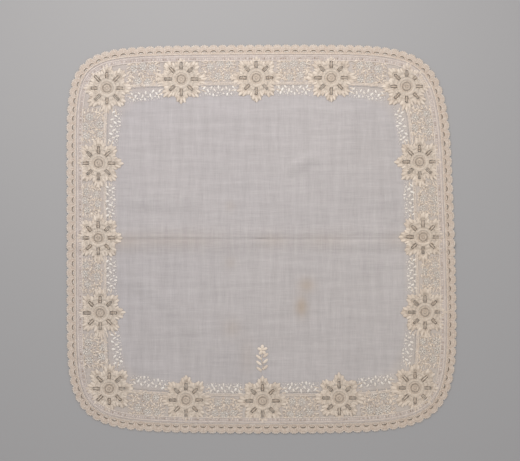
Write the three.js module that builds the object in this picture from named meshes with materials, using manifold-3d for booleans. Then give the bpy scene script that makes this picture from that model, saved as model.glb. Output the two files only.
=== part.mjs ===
// A fine linen handkerchief with a whitework border and a lace edging, lying open on a flat surface.
// Millimetres, +Z up. The group's origin is under the middle of its outline, at the surface it lies on.
// The upper edge of the cloth, as it is laid, is towards +Y.

import * as THREE from 'three';
import { mergeVertices } from 'three/addons/utils/BufferGeometryUtils.js';
import Module from 'manifold-3d';

// Driving dimensions

// Each side of the finished edge: its reach from the middle, how much further it reaches LEAN_OVER
// along the side, and how far it is drawn in DRAWN_OVER away from its middle.
const SIDES = {
  right: { reach: 198.2, lean: -3.1, drawn: 2.4 },
  top: { reach: 196.9, lean: 0.5, drawn: 1.4 },
  left: { reach: 196.5, lean: 0.1, drawn: -0.4 },
  bottom: { reach: 198.4, lean: 0.2, drawn: 2.6 },
};
const LEAN_OVER = 100;
const DRAWN_OVER = 150;

// How square each rounded corner is: the exponent of its superellipse.
const CORNERS = { topRight: 6.7, topLeft: 7.9, bottomLeft: 7.0, bottomRight: 6.6 };

const CLOTH_THICKNESS = 1.0;
const HEM_RELIEF = 0.3;
const MEDALLION_RELIEF = 0.45;
const DOUBLE_LINE_RELIEF = 0.3;
const WHEEL_RECESS = 0.35;

const LACE_THICKNESS = 1.0;
const LACE_DEPTH = 8.6;
const LACE_GAP = 0.3;
const SCALLOPS = 156;
const SCALLOP_DEPTH = 1.7;
const LACE_HOLE = { width: 5.2, height: 2.4, fromEdge: 6.9 };

const HEM_DEPTH = 6.2;
const OUTLINE_POINTS = 72;

// The medallions, by the middle of each, clockwise from the upper left corner.
// facing is the angle, in degrees anticlockwise from +X, of the lobe that points at the cloth's middle.
const MEDALLIONS = [
  { x: -156.4, y: 153.7, facing: -45 },
  { x: -80.4, y: 162.9, facing: -90 },
  { x: -3.7, y: 164.2, facing: -90 },
  { x: 73.0, y: 164.2, facing: -90 },
  { x: 150.1, y: 155.4, facing: -135 },
  { x: 163.4, y: 78.3, facing: 180 },
  { x: 166.9, y: 1.5, facing: 180 },
  { x: 168.9, y: -75.5, facing: 180 },
  { x: 158.7, y: -152.9, facing: 135 },
  { x: 81.2, y: -163.2, facing: 90 },
  { x: 2.8, y: -166.2, facing: 90 },
  { x: -75.6, y: -165.2, facing: 90 },
  { x: -154.1, y: -153.6, facing: 45 },
  { x: -163.3, y: -76.2, facing: 0 },
  { x: -165.3, y: 0.5, facing: 0 },
  { x: -165.0, y: 76.9, facing: 0 },
];

// The eight lobes of a medallion, turning from the one that faces the middle of the cloth.
const LOBE_REACH = [26.0, 22.5, 23.5, 21.5, 20.0, 21.5, 23.5, 22.5];
const LOBE_SHOULDER = { reach: 20.6, turn: 9 };
const LOBE_VALLEY = 17.4;

// The leaf-shaped openings, one in each lobe, long ones on every other lobe.
const OPENING = { start: 9.6, long: 9.4, short: 7.6, width: 3.6, footWidth: 1.9, widestAt: 0.42 };

const WHEEL = { outer: 4.9, inner: 2.4, outerSides: 9, innerSides: 6 };

// The two raised cords between the medallions, as one narrow band.
const DOUBLE_LINE = { width: 2.6, inward: 6.6, clear: 19.5 };

// Soft ridges that the folded and pressed cloth keeps, each along a straight crest.
const RIDGES = [
  { name: 'fold, upper crest, left', x1: -212, y1: 7, x2: 20, y2: 7, width: 7, rise: 1.0 },
  { name: 'fold, upper crest, right', x1: -30, y1: 7, x2: 216, y2: 7, width: 7, rise: 1.2 },
  { name: 'fold, lower crest, left', x1: -212, y1: -7, x2: -60, y2: -7, width: 7, rise: 1.0 },
  { name: 'fold, lower crest, middle', x1: -110, y1: -7, x2: 110, y2: -7, width: 7, rise: 0.5 },
  { name: 'fold, lower crest, right', x1: 55, y1: -7, x2: 216, y2: -7, width: 7, rise: 1.6 },
  { name: 'upper right crease', x1: 16, y1: 65, x2: 60, y2: 89, width: 9, rise: 1.9 },
  { name: 'upper right swell', x1: 30, y1: 134, x2: 118, y2: 122, width: 12, rise: 1.8 },
  { name: 'upper left swell', x1: -152, y1: 40, x2: -50, y2: 42, width: 12, rise: 2.0 },
  { name: 'lower left swell, outer end', x1: -146, y1: -34, x2: -84, y2: -74, width: 13, rise: 1.9 },
  { name: 'lower left swell, inner end', x1: -104, y1: -60, x2: -56, y2: -100, width: 12, rise: 1.6 },
  { name: 'right swell', x1: 82, y1: -25, x2: 150, y2: -24, width: 9, rise: 1.2 },
  { name: 'right crease', x1: 94, y1: 30, x2: 152, y2: 42, width: 9, rise: 1.3 },
  { name: 'upper middle swell', x1: 0, y1: 129, x2: 40, y2: 129, width: 9, rise: 0.9 },
  { name: 'lower left corner swell', x1: -142, y1: -128, x2: -98, y2: -134, width: 10, rise: 1.0 },
];

// Where the unevenness is worked out: rows across a ridge, as shares of its width, and steps along it.
const RIDGE_ROWS = [-1, -0.5, 0, 0.5, 1];
const RIDGE_STEP = 13;
const CLOSEST_POINTS = 2.5;
const LAYER_SPAN = 440;
const BELOW = -2;
const ABOVE = 8;

const LINEN_COLOUR = 0xc9c3c0;
const LACE_COLOUR = 0xdccdb6;

const wasm = await Module();
wasm.setup();

// Shape of the outline and of the cloth's unevenness

function exponentAt(x, y) {
  if (y > 0) return x > 0 ? CORNERS.topRight : CORNERS.topLeft;
  return x > 0 ? CORNERS.bottomRight : CORNERS.bottomLeft;
}

function reachOf(side, along) {
  return side.reach + (side.lean * along) / LEAN_OVER - side.drawn * (along / DRAWN_OVER) ** 2;
}

// 1 on the finished edge, less inside it and more outside it.
function edgeMeasure(x, y) {
  const halfX = reachOf(x > 0 ? SIDES.right : SIDES.left, y);
  const halfY = reachOf(y > 0 ? SIDES.top : SIDES.bottom, x);
  const n = exponentAt(x, y);
  return (Math.abs(x / halfX) ** n + Math.abs(y / halfY) ** n) ** (1 / n);
}

// The point of the finished edge in the direction of an angle.
function edgePoint(angle) {
  const point = new THREE.Vector2(Math.cos(angle), Math.sin(angle)).multiplyScalar(SIDES.top.reach);
  for (let step = 0; step < 12; step += 1) {
    point.divideScalar(edgeMeasure(point.x, point.y));
  }
  return point;
}

// The finished edge as one closed curve, anticlockwise, that can be walked by its length.
class EdgeCurve extends THREE.Curve {
  getPoint(t, target = new THREE.Vector2()) {
    return target.copy(edgePoint(t * 2 * Math.PI));
  }
}
const edge = new EdgeCurve();
edge.arcLengthDivisions = 1440;

// The point at a share of the edge's length, moved inwards by a depth.
function insetPoint(share, depth) {
  const along = edge.getTangentAt(share % 1);
  return edge.getPointAt(share % 1).add(new THREE.Vector2(-along.y, along.x).multiplyScalar(depth));
}

function insetOutline(count, depth) {
  return Array.from({ length: count }, (_, k) => insetPoint(k / count, depth));
}

// Height of a ridge at a point: round across its crest and fading to nothing at both ends.
function ridgeHeight(ridge, x, y) {
  const along = new THREE.Vector2(ridge.x2 - ridge.x1, ridge.y2 - ridge.y1);
  const length = along.length();
  along.divideScalar(length);
  const t = ((x - ridge.x1) * along.x + (y - ridge.y1) * along.y) / length;
  const across = Math.abs((x - ridge.x1) * along.y - (y - ridge.y1) * along.x) / ridge.width;
  if (t <= 0 || t >= 1 || across >= 1) return 0;
  return ridge.rise * Math.sqrt(Math.sin(Math.PI * t)) * (1 - across ** 2) ** 2;
}

function lift(x, y) {
  return RIDGES.reduce((height, ridge) => Math.max(height, ridgeHeight(ridge, x, y)), 0);
}

// Solids

function solidOf(geometry) {
  const bare = geometry.clone();
  bare.deleteAttribute('normal');
  bare.deleteAttribute('uv');
  const merged = mergeVertices(bare, 1e-4);
  return new wasm.Manifold(new wasm.Mesh({
    numProp: 3,
    vertProperties: new Float32Array(merged.attributes.position.array),
    triVerts: new Uint32Array(merged.index.array),
  }));
}

function geometryOf(solid) {
  const mesh = solid.getMesh();
  const geometry = new THREE.BufferGeometry();
  geometry.setAttribute('position', new THREE.BufferAttribute(mesh.vertProperties, 3));
  geometry.setIndex(new THREE.BufferAttribute(mesh.triVerts, 1));
  geometry.computeVertexNormals();
  return geometry;
}

// An upright prism over a closed row of points.
function prism(points, bottom = BELOW, top = ABOVE) {
  const geometry = new THREE.ExtrudeGeometry(new THREE.Shape(points), {
    depth: top - bottom,
    bevelEnabled: false,
  });
  return solidOf(geometry.translate(0, 0, bottom));
}

// The points on which the cloth's unevenness is worked out: a wide square, and rows along each ridge,
// every other row half a step further on.
function unevennessPoints() {
  const half = LAYER_SPAN / 2;
  const points = [[-1, -1], [1, -1], [1, 1], [-1, 1]].map(([x, y]) => new THREE.Vector2(x * half, y * half));
  for (const ridge of RIDGES) {
    const start = new THREE.Vector2(ridge.x1, ridge.y1);
    const axis = new THREE.Vector2(ridge.x2, ridge.y2).sub(start);
    const steps = Math.round(axis.length() / RIDGE_STEP);
    const side = new THREE.Vector2(-axis.y, axis.x).normalize().multiplyScalar(ridge.width);
    RIDGE_ROWS.forEach((across, row) => {
      for (let k = row % 2 ? 0.5 : 0; k <= steps; k += 1) {
        const point = start.clone().addScaledVector(axis, k / steps).addScaledVector(side, across);
        if (points.every((other) => other.distanceTo(point) > CLOSEST_POINTS)) points.push(point);
      }
    });
  }
  return points;
}

// A triangle of three numbered points, anticlockwise, with the circle through them.
function circled(points, a, b, c) {
  const u = points[b].clone().sub(points[a]);
  const v = points[c].clone().sub(points[a]);
  const twice = 2 * u.cross(v);
  const centre = new THREE.Vector2(
    (v.y * u.lengthSq() - u.y * v.lengthSq()) / twice,
    (u.x * v.lengthSq() - v.x * u.lengthSq()) / twice,
  );
  const radius = centre.length();
  return { corners: twice > 0 ? [a, b, c] : [a, c, b], centre: centre.add(points[a]), radius };
}

// Triangles over scattered points, so that no point lies inside the circle of a triangle.
function triangulate(points) {
  const far = 100 * LAYER_SPAN;
  const all = [...points, ...[[-far, -far], [far, -far], [0, far]].map(([x, y]) => new THREE.Vector2(x, y))];
  let triangles = [circled(all, points.length, points.length + 1, points.length + 2)];
  points.forEach((point, k) => {
    const rim = new Map();
    triangles = triangles.filter((triangle) => {
      if (triangle.centre.distanceTo(point) > triangle.radius) return true;
      triangle.corners.forEach((from, n) => {
        const to = triangle.corners[(n + 1) % 3];
        if (!rim.delete(`${to} ${from}`)) rim.set(`${from} ${to}`, [from, to]);
      });
      return false;
    });
    rim.forEach(([from, to]) => triangles.push(circled(all, from, to, k)));
  });
  return triangles
    .map((triangle) => triangle.corners)
    .filter((corners) => Math.max(...corners) < points.length);
}

const LAYER_POINTS = unevennessPoints();
const LAYER_TRIANGLES = triangulate(LAYER_POINTS);

// A wide layer that follows the cloth's unevenness, from one height to another.
function layer(bottom, top) {
  const count = LAYER_POINTS.length;
  const heights = [bottom, top];
  const position = heights.flatMap((z) => LAYER_POINTS.flatMap(({ x, y }) => [x, y, z + lift(x, y)]));
  const faces = LAYER_TRIANGLES.flatMap(([a, b, c]) => [c, b, a, a + count, b + count, c + count]);
  for (let from = 0; from < 4; from += 1) {
    const to = (from + 1) % 4;
    faces.push(from, to, to + count, from, to + count, from + count);
  }
  const geometry = new THREE.BufferGeometry();
  geometry.setAttribute('position', new THREE.Float32BufferAttribute(position, 3));
  return solidOf(geometry.setIndex(faces));
}

function join(solids) {
  return solids.reduce((all, solid) => all.add(solid));
}

function polar(centre, reach, degrees) {
  const angle = THREE.MathUtils.degToRad(degrees);
  return new THREE.Vector2(centre.x + reach * Math.cos(angle), centre.y + reach * Math.sin(angle));
}

function polygon(centre, reach, sides) {
  return Array.from({ length: sides }, (_, k) => polar(centre, reach, (360 * k) / sides));
}

const LOBE_TURN = 360 / LOBE_REACH.length;

// Embroidered medallions

function medallionOutline(medallion) {
  const points = [];
  LOBE_REACH.forEach((reach, k) => {
    const turn = medallion.facing + k * LOBE_TURN;
    points.push(polar(medallion, LOBE_SHOULDER.reach, turn - LOBE_SHOULDER.turn));
    points.push(polar(medallion, reach, turn));
    points.push(polar(medallion, LOBE_SHOULDER.reach, turn + LOBE_SHOULDER.turn));
    points.push(polar(medallion, LOBE_VALLEY, turn + LOBE_TURN / 2));
  });
  return points;
}

// One leaf-shaped opening: a narrow foot towards the wheel, its widest part, and a pointed tip.
function leafOutline(medallion, turn, length) {
  const axis = polar({ x: 0, y: 0 }, 1, turn);
  const side = new THREE.Vector2(-axis.y, axis.x);
  const at = (out, across) => new THREE.Vector2(medallion.x, medallion.y)
    .addScaledVector(axis, OPENING.start + out)
    .addScaledVector(side, across);
  return [
    at(0, -OPENING.footWidth / 2),
    at(length * OPENING.widestAt, -OPENING.width / 2),
    at(length, 0),
    at(length * OPENING.widestAt, OPENING.width / 2),
    at(0, OPENING.footWidth / 2),
  ];
}

function medallionOpenings(medallion) {
  return LOBE_REACH.map((_, k) => prism(leafOutline(
    medallion,
    medallion.facing + k * LOBE_TURN,
    k % 2 === 0 ? OPENING.long : OPENING.short,
  )));
}

// The sunk ring of the wheel in the middle of a medallion.
function wheelRing(medallion) {
  return prism(polygon(medallion, WHEEL.outer, WHEEL.outerSides))
    .subtract(prism(polygon(medallion, WHEEL.inner, WHEEL.innerSides), BELOW - 1, ABOVE + 1));
}

// The raised double line between one medallion and the next, on the side of the cloth's middle.
function doubleLine(from, to) {
  const start = new THREE.Vector2(from.x, from.y);
  const end = new THREE.Vector2(to.x, to.y);
  const axis = end.clone().sub(start).normalize();
  const inward = new THREE.Vector2(axis.y, -axis.x);
  const corner = (middle, out, across) => middle.clone()
    .addScaledVector(axis, out)
    .addScaledVector(inward, across);
  const near = DOUBLE_LINE.inward - DOUBLE_LINE.width / 2;
  const far = DOUBLE_LINE.inward + DOUBLE_LINE.width / 2;
  return prism([
    corner(start, DOUBLE_LINE.clear, near),
    corner(start, DOUBLE_LINE.clear, far),
    corner(end, -DOUBLE_LINE.clear, far),
    corner(end, -DOUBLE_LINE.clear, near),
  ]);
}

// The linen, with its hem and its embroidery, as one piece
function linenGround() {
  const edgeOfLinen = LACE_DEPTH + LACE_GAP;
  const outline = prism(insetOutline(OUTLINE_POINTS, edgeOfLinen));
  const insideHem = prism(insetOutline(OUTLINE_POINTS, edgeOfLinen + HEM_DEPTH), BELOW - 1, ABOVE + 1);
  const middle = CLOTH_THICKNESS / 2;
  const raised = (area, relief) => layer(middle, CLOTH_THICKNESS + relief).intersect(area);
  const nextOf = (k) => MEDALLIONS[(k + 1) % MEDALLIONS.length];

  const sunk = layer(CLOTH_THICKNESS + MEDALLION_RELIEF - WHEEL_RECESS, ABOVE)
    .intersect(join(MEDALLIONS.map(wheelRing)));
  return layer(0, CLOTH_THICKNESS)
    .intersect(outline)
    .add(raised(outline.subtract(insideHem), HEM_RELIEF))
    .add(raised(join(MEDALLIONS.map((from, k) => doubleLine(from, nextOf(k)))), DOUBLE_LINE_RELIEF))
    .add(raised(join(MEDALLIONS.map((each) => prism(medallionOutline(each)))), MEDALLION_RELIEF))
    .subtract(sunk)
    .subtract(join(MEDALLIONS.flatMap(medallionOpenings)));
}

// The lace edging, one length sewn round the hem with its ends joined

// Two shoulders and the valley after them, for each scallop.
function scallopedOutline() {
  const points = [];
  for (let k = 0; k < SCALLOPS; k += 1) {
    points.push(insetPoint((k + 0.28) / SCALLOPS, 0));
    points.push(insetPoint((k + 0.72) / SCALLOPS, 0));
    points.push(insetPoint((k + 1) / SCALLOPS, SCALLOP_DEPTH));
  }
  return points;
}

// The arched opening behind each scallop.
function laceHole(k) {
  const middle = (k + 0.5) / SCALLOPS;
  const halfWidth = LACE_HOLE.width / 2 / edge.getLength();
  return prism([
    insetPoint(middle - halfWidth, LACE_HOLE.fromEdge),
    insetPoint(middle, LACE_HOLE.fromEdge - LACE_HOLE.height),
    insetPoint(middle + halfWidth, LACE_HOLE.fromEdge),
  ]);
}

function laceEdging() {
  const inside = prism(insetOutline(OUTLINE_POINTS, LACE_DEPTH), BELOW - 1, ABOVE + 1);
  const holes = Array.from({ length: SCALLOPS }, (_, k) => laceHole(k));
  return layer(0, LACE_THICKNESS)
    .intersect(prism(scallopedOutline()).subtract(inside))
    .subtract(join(holes));
}

function piece(name, solid, colour, roughness) {
  const material = new THREE.MeshStandardMaterial({ color: colour, roughness, metalness: 0 });
  const mesh = new THREE.Mesh(geometryOf(solid), material);
  mesh.name = name;
  return mesh;
}

const handkerchief = new THREE.Group();
handkerchief.add(piece('linen_ground', linenGround(), LINEN_COLOUR, 0.9));
handkerchief.add(piece('lace_edging', laceEdging(), LACE_COLOUR, 0.85));

const middleOfAll = new THREE.Box3().setFromObject(handkerchief).getCenter(new THREE.Vector3());
handkerchief.position.set(-middleOfAll.x, -middleOfAll.y, 0);

export default handkerchief;
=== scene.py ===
"""A fine linen handkerchief with a whitework border and a lace edging, lying open on a pale surface.

The cloth lies flat, seen from straight above. Sizes are in millimetres in the cloth's own frame, with
+Y towards its upper edge, and become metres when a mesh is made.
"""

import logging
import math
from collections.abc import Callable, Iterable, Sequence
from dataclasses import dataclass, field, replace
from enum import Enum

import bmesh
import bpy
import numpy as np
from mathutils import Matrix, Vector


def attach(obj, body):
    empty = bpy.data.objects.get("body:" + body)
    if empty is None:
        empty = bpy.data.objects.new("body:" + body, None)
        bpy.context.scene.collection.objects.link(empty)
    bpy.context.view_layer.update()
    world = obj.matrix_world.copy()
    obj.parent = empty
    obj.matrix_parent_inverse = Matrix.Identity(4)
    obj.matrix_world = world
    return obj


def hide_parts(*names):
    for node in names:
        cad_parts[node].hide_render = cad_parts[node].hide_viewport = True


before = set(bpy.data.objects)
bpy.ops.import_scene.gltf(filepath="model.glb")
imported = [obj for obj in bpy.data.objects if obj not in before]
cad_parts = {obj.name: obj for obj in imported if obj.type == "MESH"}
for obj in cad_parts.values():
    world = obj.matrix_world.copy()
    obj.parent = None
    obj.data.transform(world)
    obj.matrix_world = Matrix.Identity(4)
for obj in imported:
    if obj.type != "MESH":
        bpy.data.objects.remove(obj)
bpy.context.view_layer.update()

MM = 0.001
LINEN_NODE = "linen_ground"
LACE_NODE = "lace_edging"
BODY = "root"

log = logging.getLogger("handkerchief")

Points = np.ndarray
Warp = Callable[[Points], Points]
Numbers = Points | float
Shades = tuple[float, float]
Colour = tuple[float, float, float, float]
Shape = bmesh.types.BMesh
Piece = bpy.types.Object
Finish = bpy.types.Material


# The finished edge and the unevenness of the cloth


@dataclass(frozen=True)
class Side:
    """One side of the finished edge: its reach from the middle, its lean and how far its ends draw in."""

    reach: float
    lean: float
    drawn: float
    lean_over: float = 100.0
    drawn_over: float = 150.0

    def at(self, along: Points) -> Points:
        """The reach at places along the side."""
        return self.reach + self.lean * along / self.lean_over - self.drawn * (along / self.drawn_over) ** 2


@dataclass
class FinishedEdge:
    """The outer edge of the lace: a rounded square, a little out of true, walked anticlockwise."""

    right: Side = Side(198.2, -3.1, 2.4)
    top: Side = Side(196.9, 0.5, 1.4)
    left: Side = Side(196.5, 0.1, -0.4)
    bottom: Side = Side(198.4, 0.2, 2.6)
    corners: tuple[float, float, float, float] = (6.7, 7.9, 7.0, 6.6)
    samples: int = 2880
    rounds: int = 12
    centre: Points = field(init=False)
    length: float = field(init=False)

    def __post_init__(self) -> None:
        """Walks the edge once and keeps its points, its inward directions and its length."""
        angles = np.linspace(0, 2 * math.pi, self.samples + 1)
        points = self.top.reach * np.stack([np.cos(angles), np.sin(angles)], axis=1)
        for _ in range(self.rounds):
            points = points / self._measure(points)[:, None]
        self.centre = (points.max(axis=0) + points.min(axis=0)) / 2
        self._points = points - self.centre
        steps = np.hypot(*np.diff(self._points, axis=0).T)
        self._walked = np.concatenate([[0], np.cumsum(steps)])
        self.length = float(self._walked[-1])
        along = np.gradient(self._points, axis=0)
        along[0] = along[-1] = self._points[1] - self._points[-2]
        along /= np.hypot(*along.T)[:, None]
        self._inward = np.stack([-along[:, 1], along[:, 0]], axis=1)

    def _measure(self, points: Points) -> Points:
        """Compares places with the edge.

        Args:
            points: The places, one row each.

        Returns:
            1 on the edge, less inside it and more outside it.
        """
        x, y = points.T
        across = np.abs(x / np.where(x > 0, self.right.at(y), self.left.at(y)))
        upward = np.abs(y / np.where(y > 0, self.top.at(x), self.bottom.at(x)))
        top_right, top_left, bottom_left, bottom_right = self.corners
        upper = np.where(x > 0, top_right, top_left)
        lower = np.where(x > 0, bottom_right, bottom_left)
        power = np.where(y > 0, upper, lower)
        return (across**power + upward**power) ** (1 / power)

    def at(self, walked: Points, depth: Points | float) -> Points:
        """Places beside the edge.

        Args:
            walked: Distances along the edge, in millimetres from the middle of its right side.
            depth: How far each place lies inside the edge.

        Returns:
            The places, one row each.
        """
        wrapped = np.mod(walked, self.length)
        point = np.stack([np.interp(wrapped, self._walked, self._points[:, k]) for k in (0, 1)], axis=-1)
        inward = np.stack([np.interp(wrapped, self._walked, self._inward[:, k]) for k in (0, 1)], axis=-1)
        return point + inward * np.reshape(depth, (-1, 1) if np.ndim(depth) else ())

    def area(self, depth: float) -> float:
        """The area inside the edge at a depth, in square millimetres."""
        x, y = self.ring(self.samples, depth).T
        return float(abs(np.dot(x, np.roll(y, -1)) - np.dot(y, np.roll(x, -1)))) / 2

    def depth_of(self, points: Points) -> Points:
        """About how far inside the edge each point lies."""
        return (1 - self._measure(points + self.centre)) * self.top.reach

    def nearest(self, point: Points) -> float:
        """How far along the edge its nearest place to a point lies."""
        return float(self._walked[np.argmin(np.hypot(*(self._points - point).T))])

    def ring(self, count: int, depth: float) -> Points:
        """Evenly spaced places all round, at one depth inside the edge."""
        return self.at(np.arange(count) * self.length / count, depth)


@dataclass(frozen=True)
class Ridge:
    """A soft ridge that the folded and pressed cloth keeps, along a nearly straight crest."""

    start: tuple[float, float]
    end: tuple[float, float]
    width: float
    rise: float
    bend: float = 0.0
    fade: float = 0.3

    def height(self, x: Points, y: Points) -> Points:
        """The height of the ridge: round across the crest, fading to nothing at both ends.

        Args:
            x: How far across the cloth the places lie.
            y: How far up it they lie.

        Returns:
            The height at each.
        """
        along = np.subtract(self.end, self.start)
        length = math.hypot(*along)
        along = along / length
        share = ((x - self.start[0]) * along[0] + (y - self.start[1]) * along[1]) / length
        across = (x - self.start[0]) * along[1] - (y - self.start[1]) * along[0]
        across = across - self.bend * 4 * share * (1 - share)
        ends = np.clip(np.minimum(share, 1 - share) / self.fade, 0, 1)
        shape = np.clip(1 - (across / self.width) ** 2, 0, 1) ** 2
        return self.rise * shape * ends**2 * (3 - 2 * ends)


@dataclass(frozen=True)
class Unevenness:
    """How far the cloth stands off the surface it lies on, from its old folds and soft swells."""

    swells: tuple[Ridge, ...] = (
        Ridge((-212, 7), (20, 7), 7, 1.0, bend=0.6, fade=0.1),
        Ridge((-30, 7), (216, 7), 7, 1.2, bend=-0.5, fade=0.1),
        Ridge((-212, -7), (-60, -7), 7, 1.0, bend=0.5, fade=0.1),
        Ridge((-110, -7), (110, -7), 7, 0.5),
        Ridge((55, -7), (216, -7), 7, 1.6, bend=-0.6, fade=0.12),
        Ridge((16, 65), (60, 89), 9, 1.9, bend=1.5),
        Ridge((30, 134), (118, 122), 12, 1.8, bend=-2.5),
        Ridge((-152, 40), (-50, 42), 12, 2.0, bend=2.0),
        Ridge((-146, -34), (-84, -74), 13, 1.9, bend=-2.0),
        Ridge((-104, -60), (-56, -100), 12, 1.6, bend=2.0),
        Ridge((82, -25), (150, -24), 9, 1.2, bend=1.0),
        Ridge((94, 30), (152, 42), 9, 1.3, bend=-1.5),
        Ridge((0, 129), (40, 129), 9, 0.9),
        Ridge((-142, -128), (-98, -134), 10, 1.0, bend=1.2),
    )
    creases: tuple[Ridge, ...] = (
        Ridge((-190, 8.6), (14, 7.0), 3.0, 0.6, fade=0.05),
        Ridge((-190, 2.8), (14, 2.2), 2.8, 0.8, fade=0.05),
        Ridge((-190, -4.2), (14, -3.4), 4.0, 0.8, fade=0.05),
        Ridge((-14, 6.2), (190, 6.0), 2.4, 0.5, fade=0.05),
        Ridge((-14, 2.1), (190, 2.0), 2.2, 0.7, fade=0.05),
        Ridge((-14, -3.0), (190, -3.2), 3.2, 1.0, fade=0.05),
        Ridge((-36, -96), (-4, -70), 2.6, 0.5, bend=0.8),
        Ridge((-31, -99), (0, -72), 2.4, 0.4, bend=0.8),
        Ridge((126, 17), (150, 25), 4.0, 0.6),
        Ridge((19, 69), (50, 86), 3.0, 0.7, bend=1.0),
        Ridge((-40, 31), (-24, 38), 4.0, 0.5),
        Ridge((-140, 14), (-86, 11), 4.0, 0.5, bend=1.0),
        Ridge((-5, -150), (-8, 150), 6.0, 0.25, bend=1.5),
        Ridge((88, -16), (152, -17), 2.6, 0.4, bend=0.5),
    )
    swing: float = 0.16
    swing_over: float = 47.0
    swing_squeeze: float = 0.8
    swing_shift: tuple[float, float] = (1.3, -0.6)
    softness: float = 0.85

    def height(self, x: Points, y: Points) -> Points:
        """The height of the cloth's underside.

        Args:
            x: How far across the cloth the places lie.
            y: How far up it they lie.

        Returns:
            The height at each.
        """
        swell = np.max([ridge.height(x, y) for ridge in self.swells], axis=0)
        crease = np.sum([ridge.height(x, y) for ridge in self.creases], axis=0)
        across = np.sin(x / self.swing_over + self.swing_shift[0])
        upward = np.cos(y / (self.swing_squeeze * self.swing_over) + self.swing_shift[1])
        return self.softness * (swell + crease) + self.swing * (1 + across * upward)

    def lift(self, points: Points) -> Points:
        """Raises points with the cloth.

        Args:
            points: Points in millimetres, one row each.

        Returns:
            The raised points.
        """
        raised = points.copy()
        raised[:, 2] += self.height(points[:, 0], points[:, 1])
        return raised


EDGE = FinishedEdge()
UNEVENNESS = Unevenness()


# Making meshes


def ring_of(bm: Shape, outline: Points) -> list[bmesh.types.BMVert]:
    """Adds a closed ring of edges through the points of an outline.

    Args:
        bm: The mesh to add to.
        outline: Places in the plane, one row each.

    Returns:
        The ring's vertices, in order.
    """
    made = bmesh.ops.create_circle(bm, cap_ends=False, segments=len(outline), radius=1.0)
    for vert, (x, y) in zip(made["verts"], outline):
        vert.co = (x, y, 0)
    return made["verts"]


def whole(bm: Shape) -> list[object]:
    """Every point, edge and face of a shape."""
    return bm.verts[:] + bm.edges[:] + bm.faces[:]


def thicken(bm: Shape, bottom: float, thickness: float) -> None:
    """Turns a flat sheet at height 0 into a closed one.

    Args:
        bm: The sheet.
        bottom: The height of its underside.
        thickness: How far its upper side lies above that.
    """
    raised = bmesh.ops.extrude_face_region(bm, geom=bm.faces[:], use_keep_orig=True)["geom"]
    upper = [part for part in raised if isinstance(part, bmesh.types.BMVert)]
    bmesh.ops.translate(bm, vec=(0, 0, thickness), verts=upper)
    bmesh.ops.recalc_face_normals(bm, faces=bm.faces[:])
    bmesh.ops.translate(bm, vec=(0, 0, bottom), verts=bm.verts[:])


def plate_of(outlines: Iterable[Points], bottom: float, top: float) -> Shape:
    """Makes a flat plate, inside its first outline and outside the others.

    Args:
        outlines: Closed outlines in the plane, a row for each of their points.
        bottom: The height of its underside.
        top: The height of its upper side.

    Returns:
        The plate.
    """
    bm = bmesh.new()
    for outline in outlines:
        ring_of(bm, outline)
    bmesh.ops.triangle_fill(bm, use_beauty=True, edges=bm.edges[:])
    thicken(bm, bottom, top - bottom)
    return bm


def band_of(rings: Iterable[Points], bottom: float, thickness: float) -> Shape:
    """Makes a closed band that runs all round the cloth.

    Args:
        rings: The lines that it runs through, from its outer edge to its inner one.
        bottom: The height of its underside.
        thickness: How far its upper side lies above that.

    Returns:
        The band.
    """
    bm = bmesh.new()
    for ring in rings:
        ring_of(bm, ring)
    bmesh.ops.bridge_loops(bm, edges=bm.edges[:])
    thicken(bm, bottom, thickness)
    return bm


def divide(bm: Shape, step: float) -> None:
    """Divides a shape by upright planes both ways, so that it can follow the cloth.

    Args:
        bm: The shape.
        step: The distance from one plane to the next.
    """
    reach = max(max(abs(vert.co.x), abs(vert.co.y)) for vert in bm.verts)
    for k in range(-int(reach / step), int(reach / step) + 1):
        for across in ((1, 0, 0), (0, 1, 0)):
            place = [k * step * share for share in across]
            bmesh.ops.bisect_plane(bm, geom=whole(bm), plane_co=place, plane_no=across)


def piece_of(mesh: bpy.types.Mesh) -> Piece:
    """Puts a mesh into the scene.

    Args:
        mesh: The mesh.

    Returns:
        An object that shows it, named as it is.
    """
    made = bpy.data.objects.new(mesh.name, mesh)
    bpy.context.scene.collection.objects.link(made)
    return made


def laid_piece(name: str, bm: Shape, warp: Warp, turn: float = 0.0,
               at: tuple[float, float] = (0, 0)) -> Piece:
    """Makes a piece of a shape that is built flat.

    Args:
        name: The name of the piece.
        bm: The flat shape, in millimetres, which is freed.
        warp: Lays the flat points where they belong on the cloth.
        turn: Turns the shape first, about its own origin.
        at: Where its origin goes.

    Returns:
        The piece, in metres.
    """
    bmesh.ops.rotate(bm, matrix=Matrix.Rotation(turn, 3, "Z"), verts=bm.verts[:])
    bmesh.ops.translate(bm, vec=(*at, 0), verts=bm.verts[:])
    places = warp(np.array([vert.co[:] for vert in bm.verts])) * MM
    for vert, place in zip(bm.verts, places):
        vert.co = place
    mesh = bpy.data.meshes.new(name)
    bm.to_mesh(mesh)
    bm.free()
    smooth_but_for_rims(mesh)
    return piece_of(mesh)


def unmoved(points: Points) -> Points:
    """The same points: a warp for what stays flat."""
    return points


def points_of(mesh: bpy.types.Mesh) -> Points:
    """Reads the points of a mesh.

    Args:
        mesh: The mesh, in metres.

    Returns:
        Its points, in millimetres, one row each.
    """
    points = np.empty(len(mesh.vertices) * 3)
    mesh.vertices.foreach_get("co", points)
    return points.reshape(-1, 3) / MM


def lay_on_swells(mesh: bpy.types.Mesh) -> None:
    """Raises a flat mesh with the unevenness of the cloth.

    Args:
        mesh: The mesh, in metres.
    """
    mesh.vertices.foreach_set("co", (UNEVENNESS.lift(points_of(mesh)) * MM).ravel())
    mesh.update()
    smooth_but_for_rims(mesh)


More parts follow.
